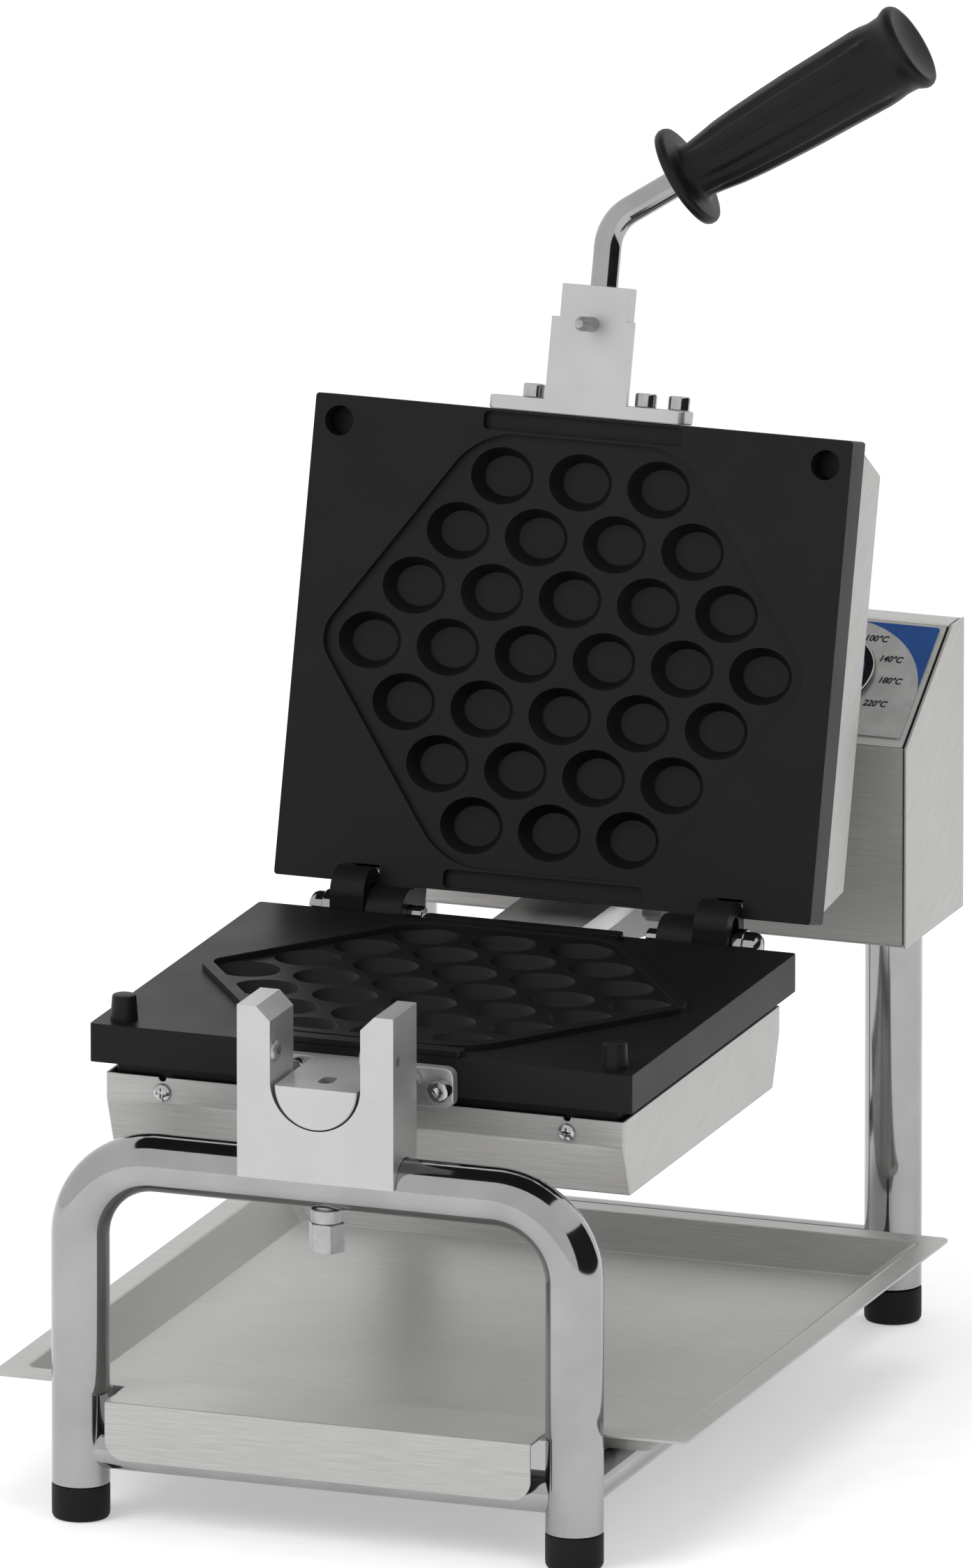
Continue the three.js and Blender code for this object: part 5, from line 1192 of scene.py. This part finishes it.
def build_handle(scene):
    size = in_mm(scene.waffle_handle)
    stem_end = in_mm(scene.waffle_bracket).stem_end
    corner = Vector((0, -stem_end - size.straight, size.level))
    ahead = Vector((math.sin(HANDLE_BEND), -math.cos(HANDLE_BEND), 0))
    reach = size.bend_radius * math.tan(HANDLE_BEND / 2)
    first = size.insert + size.straight - reach
    second = size.to_guard + size.in_grip - reach
    # Drawn upright from the bracket, bent towards X, then laid forward
    rod = pipe((0, 0, 0), [(first, size.bend_radius, HANDLE_BEND, (0, 1, 0)), (second, 0, 0, None)],
               size.rod_radius)
    lay = moved(y=-stem_end + size.insert, z=size.level) @ Matrix.Rotation(math.pi / 2, 4, "X")
    yield finish_piece(rod, "bent_handle_rod", "lid", "polished_chrome", "chromed_tube",
                       "handle_rod", UPPER_HALF @ lay)

    guard, end = size.guard, size.grip_length
    radius, tip = size.guard_radius, size.end_radius
    start, wide, neck = size.start_radius, size.wide_radius, size.neck_radius
    # From the guard's rounded rim up the swelling grip to the flared and dished end
    profile = [
        (0, 0), (radius - 1.9, 0), (radius - 0.6, 0.5), (radius, 1.7), (radius, guard - 1.7),
        (radius - 0.6, guard - 0.5), (radius - 1.9, guard), (start + 3, guard + 0.2),
        (start + 0.9, guard + 1.2), (start, guard + 3.4), (start + 1.1, 16), (start + 2.4, 24),
        (start + 3.4, 35), (start + 4.2, 48), (start + 4.9, 62), (wide - 0.6, 78), (wide - 0.2, 90),
        (wide, 97), (wide - 0.25, 102), (neck + 0.3, 106), (neck + 0.4, 109), (tip - 1.8, 111.5),
        (tip - 0.8, 113.6), (tip - 0.1, end - 4.8), (tip, end - 3.6), (tip - 0.3, end - 2.4),
        (tip - 1.1, end - 1.3), (tip - 2.2, end - 0.8), (tip - 3.6, end - 1.1), (tip - 7, end - 2.4),
        (tip / 3, end - 3.7), (0, end - 4.1),
    ]
    body = turned(profile, steps=120)
    for step in range(1, FLUTE_RINGS):
        level = size.flute_start + (size.flute_end - size.flute_start) * step / FLUTE_RINGS
        split(body, (0, 0, level), (0, 0, 1))
    for vert in body.verts:
        if size.flute_start < vert.co.z < size.flute_end and vert.co.xy.length > size.start_radius - 1:
            share = (vert.co.z - size.flute_start) / (size.flute_end - size.flute_start)
            taper = min(1, share * FLUTE_TAPER, (1 - share) * FLUTE_TAPER) ** 0.5
            wave = max(0, math.cos(FLUTES * math.atan2(vert.co.y, vert.co.x))) ** 1.5
            vert.co.xy *= 1 - size.flute_depth * taper * wave / vert.co.xy.length
    upright = Vector((0, 0, 1)).rotation_difference(ahead).to_matrix().to_4x4()
    place = UPPER_HALF @ Matrix.Translation(corner + ahead * size.to_guard) @ upright
    yield finish_piece(body, "fluted_grip", "lid", "grip_nylon", "black_plastic", "handle_grip",
                       place, 50)


# Hidden and small parts that keep the packed shape and take a finish
KEPT_PARTS = {
    "lower_heater": "sheath_steel",
    "upper_heater": "sheath_steel",
    "lid_cable_gland": "grey_nylon",
    "thermostat": "grey_nylon",
    "cable_inlet": "black_nylon",
    "rear_bearing": "blasted_aluminium",
    "back_cover": "stainless_across",
}


def build_kept_parts(scene):
    for name, material in KEPT_PARTS.items():
        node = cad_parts[name]
        for slot in node.material_slots:
            slot.material = material_for(material)
        yield node


# Control box
# Room left round the rear bearing, the inner frame's gap to the wrap, and its own thickness
BEARING_ROOM = 0.6
LINER_GAP = 0.2
LINER = 1


def slope(box):
    """Where the sloping panel lies, its length up the slope and its angle."""
    foot = Vector((0, box.front_y, box.shoulder_z))
    rise = Vector((0, box.top_front_y, box.top_z)) - foot
    angle = math.atan2(rise.z, rise.y)
    return moved(*foot) @ Matrix.Rotation(angle, 4, "X"), rise.length, angle


def on_slope(scene):
    return slope(in_mm(scene.waffle_box))[0]


def box_prism(size, shrink, half):
    """The box's side outline as a prism, shrunk by a sheet for the inside."""
    _, _, angle = slope(size)
    low = shrink * math.tan((math.pi / 2 - angle) / 2)
    high = shrink * math.tan(angle / 2)
    outline = [
        (size.front_y + shrink, size.bottom_z + shrink),
        (size.back_y - shrink, size.bottom_z + shrink),
        (size.back_y - shrink, size.top_z - shrink),
        (size.top_front_y + high, size.top_z - shrink),
        (size.front_y + shrink, size.shoulder_z - low),
    ]
    return prism(outline, -half, half, "X")


def build_box(scene):
    size = in_mm(scene.waffle_box)
    half = size.half_width
    inner = half - size.sheet
    lie, run, _ = slope(size)
    # One wrap makes the front, bottom, back and top, and a side plate closes each end
    wrap = box_prism(size, 0, inner - size.seam / 2)
    round_edges(wrap, along(wrap, "X"), size.bend, 3)
    hollow = box_prism(size, size.sheet, inner + PAST)
    edge = 0.4
    slope_cut = block(-inner - PAST, inner + PAST, edge, run - edge, -size.sheet - 2 * PAST, 4 * PAST)
    bmesh.ops.transform(slope_cut, matrix=lie, verts=slope_cut.verts)
    opening = size.cover_opening
    behind = (size.back_y - 4 * PAST, size.back_y + 2 * PAST)
    back_cut = block(-half + opening, half - opening, *behind, size.bottom_z + opening, size.top_z - opening)
    bearing = size.bearing_radius + BEARING_ROOM
    shaft_cut = bar("Y", bearing, size.front_y - 3 * PAST, size.front_y + 5 * PAST, 0, FLIP_Z)
    shell = cut(wrap, hollow, slope_cut, back_cut, shaft_cut)
    yield finish_piece(shell, "folded_box_wrap", "frame", "stainless_across", "stainless", "box_body")
    for side, sign in SIDES.items():
        plate = box_prism(size, 0, (half - inner) / 2)
        bmesh.ops.translate(plate, vec=(sign * (half + inner) / 2, 0, 0), verts=plate.verts)
        soften(plate, 0.35, 20)
        yield finish_piece(plate, f"box_side_plate_{side}", "frame", "stainless_deep", "stainless")
    liner_half = inner - size.seam / 2 + 0.5
    outside = size.sheet + LINER_GAP
    liner = cut(box_prism(size, outside, liner_half), box_prism(size, outside + LINER, half),
                block(-half, half, *behind, size.bottom_z + opening, size.top_z - opening),
                bar("Y", bearing, size.front_y - 3 * PAST, size.front_y + 8 * PAST, 0, FLIP_Z))
    # The inner frame is open below the sloping panel, but for a ledge all round
    ledge = 6
    slope_open = block(-inner + ledge, inner - ledge, ledge, run - ledge, -2 * ledge, 4 * PAST)
    bmesh.ops.transform(slope_open, matrix=lie, verts=slope_open.verts)
    # The inner frame, though stainless sheet, takes a near-black finish: painted shade seen through the
    # seams round the sloping panel
    yield finish_piece(cut(liner, slope_open), "box_inner_frame", "frame", "painted_seam_shade", "stainless")


# Holes round the knob's shaft, as radii: through the panel, the label and the knob's skirt
PANEL_HOLE = 4.8
LABEL_HOLE = 6
SKIRT_HOLE = 3.6


def build_sloping_panel(scene):
    size = in_mm(scene.waffle_box)
    fittings = in_mm(scene.waffle_panel)
    lie, run, _ = slope(size)
    half = size.half_width - size.sheet - size.seam
    gap = 0.6
    panel = rounded_block((-half, half, gap, run - gap, -size.sheet, 0), "Z", 0.6, 0.3)
    x, up = -fittings.rocker_x, fittings.fittings_up
    inset = fittings.rocker_flange + 0.7
    wide, tall = fittings.rocker_width / 2 - inset, fittings.rocker_height / 2 - inset
    through = (-4 * PAST, 4 * PAST)
    holed = cut(panel, bar("Z", PANEL_HOLE, *through, fittings.knob_x, fittings.up),
                bar("Z", fittings.lamp_radius + 0.3, *through, -fittings.lamp_x, up),
                block(x - wide, x + wide, up - tall, up + tall, *through))
    yield finish_piece(holed, "sloping_front_sheet", "frame", "stainless_panel", "stainless",
                       "slope_panel", lie)


# Dial label: grey film, a blue corner outside the dial's circle, and the numbers, each with its
# start as measured from the knob's axis, across and up the slope
NUMBERS = {
    "100°C": (11.3, 22.6), "140°C": (21.0, 11.7), "180°C": (24.1, -0.4), "220°C": (21.2, -13.9),
    "250°C": (11.1, -23.7),
}


def text_shape(words, height, thickness):
    """A word in narrow, bold and slanted letters as a thin solid, standing on its left middle."""
    curve = bpy.data.curves.new("words", "FONT")
    curve.body = words
    curve.size = height
    curve.shear = 0.2
    curve.align_x = "LEFT"
    curve.align_y = "CENTER"
    curve.extrude = thickness / 2
    curve.offset = height * 0.03
    holder = bpy.data.objects.new("words", curve)
    bpy.context.collection.objects.link(holder)
    bpy.context.view_layer.update()
    bm = baked(holder)
    bpy.data.curves.remove(curve)
    bmesh.ops.scale(bm, vec=(0.86, 1, 1), verts=bm.verts)
    return bm


def build_dial(scene):
    size = in_mm(scene.waffle_panel)
    lie = on_slope(scene)
    low = size.seat
    high = low + size.film
    left, right, foot, top = size.label_left, size.label_right, size.label_foot, size.label_top
    film = rounded_block((left, right, foot, top, low, high), "Z", size.label_corner)
    through = (low - PAST, high + PAST)
    film = cut(film, bar("Z", LABEL_HOLE, *through, size.knob_x, size.up))
    yield finish_piece(film, "dial_film", "frame", "dial_grey", "label_film", "dial_label", lie)
    ink, margin = 0.04, 0.05
    field = rounded_block((left + margin, right - margin, foot + margin, top - margin, high, high + ink),
                          "Z", size.label_corner)
    through = (high - PAST, high + PAST)
    field = cut(field, bar("Z", size.circle_radius, *through, size.knob_x, size.circle_up, steps=160),
                block(left - PAST, right + PAST, foot - PAST, size.circle_up, *through))
    yield finish_piece(field, "dial_blue_field", "frame", "dial_blue", "label_film", None, lie)
    for words, (across, up) in NUMBERS.items():
        number = text_shape(words, size.number_size, 2 * ink)
        spot = moved(size.knob_x + across, size.up + up, high + ink)
        name = "dial_number_" + "".join(c for c in words if c.isdigit())
        yield finish_piece(number, name, "frame", "dial_ink", "label_film", None, lie @ spot)


def build_knob(scene):
    size = in_mm(scene.waffle_panel)
    lie = on_slope(scene)
    place = lie @ moved(size.knob_x, size.up, size.knob_lift)
    skirt, rise = size.skirt_radius, size.skirt_height
    cap, top, tall = size.cap_radius, size.top_radius, size.knob_height
    ring = turned([(SKIRT_HOLE, 0), (skirt - 0.3, 0), (skirt, 0.4), (skirt, rise - 1.6),
                   (skirt - 0.5, rise - 0.7), (skirt - 1.6, rise), (cap + 0.6, rise), (cap + 0.6, rise - 1),
                   (SKIRT_HOLE, rise - 1), (SKIRT_HOLE, 0)], steps=96)
    yield finish_piece(ring, "knob_skirt", "knob", "polished_chrome", "black_plastic", "knob", place)
    # A ring in the dial's blue at the cap's foot: painted reflection of the dial's blue field on the knob
    band = turned([(cap - 1, rise - 1), (cap + 0.5, rise - 1), (cap + 0.5, rise + 0.5), (cap, rise + 1),
                   (cap - 1, rise + 1), (cap - 1, rise - 1)], steps=96)
    yield finish_piece(band, "knob_painted_blue_reflection", "knob", "dial_blue", "black_plastic", None, place)
    body = turned([(0, rise - 1), (cap - 0.1, rise - 1), (cap - 0.1, rise + 0.8), (top + 0.2, tall - 1.6),
                   (top - 0.3, tall - 0.5), (top - 1.4, tall), (0, tall)], steps=96)
    wide, reach = size.grip_width / 2, top - 1.2
    grip = rounded_block((-wide, wide, -reach, reach, tall - 2, tall + size.grip_height), "Z", 2.5, 0.6)
    yield finish_piece(join(body, grip), "knob_cap", "knob", "black_nylon", "black_plastic", None, place)
    mark = rounded_block((-0.8, 0.8, cap + 1.2, skirt - 2.2, rise - 0.4, rise + 0.4), "Z", 0.4)
    yield finish_piece(mark, "knob_pointer", "knob", "dial_ink", "black_plastic", None, place)


# The rocker switch: how far it runs into the box, its button's axis and how far that stands tipped
ROCKER_DEPTH = 22
ROCKER_AXIS = -2.4
ROCKER_TILT = 0.17


def build_switches(scene):
    size = in_mm(scene.waffle_panel)
    lie = on_slope(scene)
    x, up, edge, seat = -size.rocker_x, size.fittings_up, size.rocker_flange, size.seat
    wide, tall = size.rocker_width / 2, size.rocker_height / 2

    def inset(by):
        return x - wide + by, x + wide - by, up - tall + by, up + tall - by

    outer = rounded_block((*inset(0), seat, seat + edge), "Z", 2, 0.5)
    body = block(*inset(edge + 1), -ROCKER_DEPTH, seat + 1)
    well = block(*inset(edge + 3), -ROCKER_DEPTH / 2, 6)
    housing = cut(join(outer, body), well)
    yield finish_piece(housing, "rocker_frame", "frame", "black_nylon", "black_plastic",
                       "rocker_housing", lie)
    half_x, half_y, lift, deep = wide - edge - 3.6, tall - edge - 3.6, 4.4, 5
    outline = [(-half_y, 0), (0, -deep), (half_y, 0), (half_y - 0.6, lift + 0.6),
               (half_y * 0.5, lift - 0.35), (0, lift - 0.6), (-half_y * 0.5, lift - 0.35),
               (-half_y + 0.6, lift + 0.6)]
    button = prism(outline, -half_x, half_x, "X")
    soften(button, 0.4, 30)
    tilted = lie @ moved(x, up, ROCKER_AXIS) @ Matrix.Rotation(ROCKER_TILT, 4, "X")
    yield finish_piece(button, "rocker_cap", "rocker", "black_nylon", "black_plastic",
                       "rocker_button", tilted)
    radius, flange = size.lamp_radius, size.lamp_flange
    lens = turned([(0, -17), (radius - 0.4, -17), (radius, -16), (radius, seat), (flange - 0.3, seat),
                   (flange, seat + 0.4), (flange, seat + 1.1), (flange - 0.6, seat + 1.5),
                   (radius, seat + 1.5), (radius - 0.5, seat + 3), (radius * 0.7, seat + 4.5),
                   (radius * 0.35, seat + 5.3), (0, seat + 5.5)],
                  moved(-size.lamp_x, up, 0))
    yield finish_piece(lens, "lamp_dome", "frame", "lamp_lens", "red_lens", "indicator_lamp", lie)


# Studio: what the camera and lamps are turned to, and the camera's side of it, from the photograph
TARGET = Vector((-0.00182, -0.02011, 0.2816))
TOWARDS_CAMERA = Vector((0.3300, -0.9068, 0.2622))
CAMERA_DISTANCE = 16.775
CAMERA_LENS = 900
# White paper floor, as corners in metres, and how much it is brightened where it is seen
FLOOR = (-6, 6, -6, 6, -0.01, 0)
PAPER_LIFT = 0.38
# Black flags that only the metal sees, as corners in metres: one overhead, one on the right
FLAGS = {
    "flag_overhead": (-1.4, 1.4, -1.0, 1.6, 2.3, 2.32),
    "flag_right": (1.6, 1.62, -1.8, 1.8, 0.02, 1.1),
}
# Soft round lamps that the metal doesn't mirror: place in metres, width in metres and power in watts
LIGHTS = {
    "key": ((-1.6, -2.2, 2.6), 2.2, 62),
    "fill": ((2.6, -1.4, 1.4), 2.0, 16),
    "top": ((0.2, 0.6, 3.2), 2.4, 34),
}


def seen_directly(tree):
    """1 for rays that show the background: to the camera, in a mirror or through glass."""
    path = add(tree, "ShaderNodeLightPath")
    shown = add(tree, "ShaderNodeMath", {0: path.outputs["Is Camera Ray"], 1: path.outputs["Is Glossy Ray"]},
                operation="MAXIMUM")
    return add(tree, "ShaderNodeMath", {0: shown.outputs["Value"], 1: path.outputs["Is Transmission Ray"]},
               operation="MAXIMUM").outputs["Value"]


def staged(bm, name, material):
    made = as_object(bm, name)
    made.data.materials.append(material_for(material))
    return made


def lift_paper(material):
    """Brightens the floor only where it is seen, so that it reads as white round the soft shadow."""
    tree = material.node_tree
    surface = tree.nodes["Principled BSDF"]
    surface.inputs["Emission Color"].default_value = (1, 1, 1, 1)
    lift = add(tree, "ShaderNodeMath", {0: seen_directly(tree)}, operation="MULTIPLY")
    lift.inputs[1].default_value = PAPER_LIFT
    tree.links.new(lift.outputs["Value"], surface.inputs["Emission Strength"])


def aimed(name, data, spot):
    """Sets a light or camera in its place, turned to the object."""
    made = bpy.data.objects.new(name, data)
    made.location = spot
    made.rotation_mode = "QUATERNION"
    made.rotation_quaternion = (TARGET - made.location).to_track_quat("-Z", "Y")
    bpy.context.collection.objects.link(made)
    return made


def build_stage(scene):
    ground = staged(block(*FLOOR), "floor", "studio_paper")
    lift_paper(ground.active_material)
    for name, corners in FLAGS.items():
        flag = staged(block(*corners), name, "flag_cloth")
        flag.visible_camera = False
        flag.visible_diffuse = False
        flag.visible_shadow = False

    world = bpy.data.worlds.new("studio")
    scene.world = world
    world.use_nodes = True
    tree = world.node_tree
    tree.nodes.clear()
    soft = add(tree, "ShaderNodeBackground", Color=(1.0, 1.0, 1.0, 1.0), Strength=0.7)
    white = add(tree, "ShaderNodeBackground", Color=(1.0, 1.0, 1.0, 1.0), Strength=1.0)
    mix = add(tree, "ShaderNodeMixShader", {"Fac": seen_directly(tree)})
    tree.links.new(soft.outputs["Background"], mix.inputs[1])
    tree.links.new(white.outputs["Background"], mix.inputs[2])
    add(tree, "ShaderNodeOutputWorld", {"Surface": mix.outputs["Shader"]})

    for name, (spot, size, power) in LIGHTS.items():
        lamp = bpy.data.lights.new(name, "AREA")
        lamp.shape = "DISK"
        lamp.size = size
        lamp.energy = power
        aimed(name, lamp, spot).visible_glossy = False

    view = bpy.data.cameras.new("camera")
    view.lens = CAMERA_LENS
    view.sensor_width = 36
    view.clip_end = 100
    camera = aimed("camera", view, TARGET + TOWARDS_CAMERA * CAMERA_DISTANCE)
    scene.camera = camera
    scene.view_settings.view_transform = "Standard"
    yield ground


# Operators: one for each group of pieces, run in the order in which they stand here
class WaffleBuilder:
    """Shared by all the operators: runs a builder and stops when it makes nothing."""

    bl_options = {"REGISTER", "UNDO"}

    def execute(self, context):
        if not list(type(self).builder(context.scene)):
            raise RuntimeError(f"{self.bl_label} made no piece")
        return {"FINISHED"}


class WAFFLE_OT_stage(WaffleBuilder, Operator):
    """Adds floor, light, white surround and camera"""

    bl_idname = "waffle.stage"
    bl_label = "Set up the studio"
    builder = build_stage


class WAFFLE_OT_stand(WaffleBuilder, Operator):
    """Bent front frame, rear legs and rails"""

    bl_idname = "waffle.stand"
    bl_label = "Build the stand"
    builder = build_stand


class WAFFLE_OT_feet(WaffleBuilder, Operator):
    """Four rubber feet"""

    bl_idname = "waffle.feet"
    bl_label = "Build the feet"
    builder = build_feet


class WAFFLE_OT_tray(WaffleBuilder, Operator):
    """Folded tray with tongue and apron"""

    bl_idname = "waffle.tray"
    bl_label = "Build the drip tray"
    builder = build_tray


class WAFFLE_OT_cradle(WaffleBuilder, Operator):
    """Fork block with its bolt and ear screws"""

    bl_idname = "waffle.cradle"
    bl_label = "Build the cradle"
    builder = build_cradle


class WAFFLE_OT_box(WaffleBuilder, Operator):
    """Folded wrap, side plates and inner frame"""

    bl_idname = "waffle.box"
    bl_label = "Build the control box"
    builder = build_box


class WAFFLE_OT_panel(WaffleBuilder, Operator):
    """Front sheet that carries the controls"""

    bl_idname = "waffle.panel"
    bl_label = "Build the sloping panel"
    builder = build_sloping_panel


class WAFFLE_OT_dial(WaffleBuilder, Operator):
    """Label film, blue field and numbers"""

    bl_idname = "waffle.dial"
    bl_label = "Build the dial"
    builder = build_dial


class WAFFLE_OT_knob(WaffleBuilder, Operator):
    """Skirt, ring of painted blue reflection, cap and pointer"""

    bl_idname = "waffle.knob"
    bl_label = "Build the knob"
    builder = build_knob


class WAFFLE_OT_switches(WaffleBuilder, Operator):
    """Rocker switch and indicator lamp"""

    bl_idname = "waffle.switches"
    bl_label = "Build rocker and lamp"
    builder = build_switches


class WAFFLE_OT_lower_plate(WaffleBuilder, Operator):
    """Cast plate with rim, pockets, studs and lugs"""

    bl_idname = "waffle.lower_plate"
    bl_label = "Build the lower plate"
    builder = build_lower_plate


class WAFFLE_OT_upper_plate(WaffleBuilder, Operator):
    """Cast plate with recess, pockets and barrels"""

    bl_idname = "waffle.upper_plate"
    bl_label = "Build the upper plate"
    builder = build_upper_plate


class WAFFLE_OT_casings(WaffleBuilder, Operator):
    """Sheet casings with their cross-head screws"""

    bl_idname = "waffle.casings"
    bl_label = "Build the casings"
    builder = build_casings


class WAFFLE_OT_brackets(WaffleBuilder, Operator):
    """Journal, stem and locating pin"""

    bl_idname = "waffle.brackets"
    bl_label = "Build the brackets"
    builder = build_brackets


class WAFFLE_OT_cap_screws(WaffleBuilder, Operator):
    """Six socket screws of the brackets"""

    bl_idname = "waffle.cap_screws"
    bl_label = "Build the cap screws"
    builder = build_cap_screws


class WAFFLE_OT_shaft(WaffleBuilder, Operator):
    """Turned shaft with its flange"""

    bl_idname = "waffle.shaft"
    bl_label = "Build the rear shaft"
    builder = build_shaft


class WAFFLE_OT_hinge_pins(WaffleBuilder, Operator):
    """Two headed pins"""

    bl_idname = "waffle.hinge_pins"
    bl_label = "Build the hinge pins"
    builder = build_hinge_pins


class WAFFLE_OT_handle(WaffleBuilder, Operator):
    """Bent rod and fluted grip"""

    bl_idname = "waffle.handle"
    bl_label = "Build the handle"
    builder = build_handle


class WAFFLE_OT_kept_parts(WaffleBuilder, Operator):
    """Gives hidden and small packed parts their material"""

    bl_idname = "waffle.kept_parts"
    bl_label = "Finish the kept parts"
    builder = build_kept_parts


OPERATORS = WaffleBuilder.__subclasses__()
SETTINGS = {
    "waffle_look": WaffleLook,
    "waffle_stand": WaffleStand,
    "waffle_tray": WaffleTray,
    "waffle_cradle": WaffleCradle,
    "waffle_plate": WafflePlate,
    "waffle_casing": WaffleCasing,
    "waffle_bracket": WaffleBracket,
    "waffle_hinge": WaffleHinge,
    "waffle_handle": WaffleHandle,
    "waffle_box": WaffleBox,
    "waffle_panel": WafflePanel,
}


class WAFFLE_PT_sidebar(Panel):
    """Settings and builders of the waffle maker"""

    bl_label = "Waffle maker"
    bl_idname = "WAFFLE_PT_sidebar"
    bl_space_type = "VIEW_3D"
    bl_region_type = "UI"
    bl_category = "Waffle maker"

    def draw(self, context):
        for name, kind in SETTINGS.items():
            box = self.layout.box()
            box.label(text=kind.__doc__)
            for key in kind.__annotations__:
                box.prop(getattr(context.scene, name), key)
        for operator in OPERATORS:
            self.layout.operator(operator.bl_idname)


def register():
    for name, kind in SETTINGS.items():
        bpy.utils.register_class(kind)
        setattr(bpy.types.Scene, name, PointerProperty(type=kind))
    for kind in (*OPERATORS, WAFFLE_PT_sidebar):
        bpy.utils.register_class(kind)


def unregister():
    for kind in reversed((*OPERATORS, WAFFLE_PT_sidebar)):
        bpy.utils.unregister_class(kind)
    for name, kind in reversed(SETTINGS.items()):
        delattr(bpy.types.Scene, name)
        bpy.utils.unregister_class(kind)


def main():
    register()
    for operator in OPERATORS:
        group, name = operator.bl_idname.split(".")
        getattr(getattr(bpy.ops, group), name)()


if __name__ == "__main__":
    main()
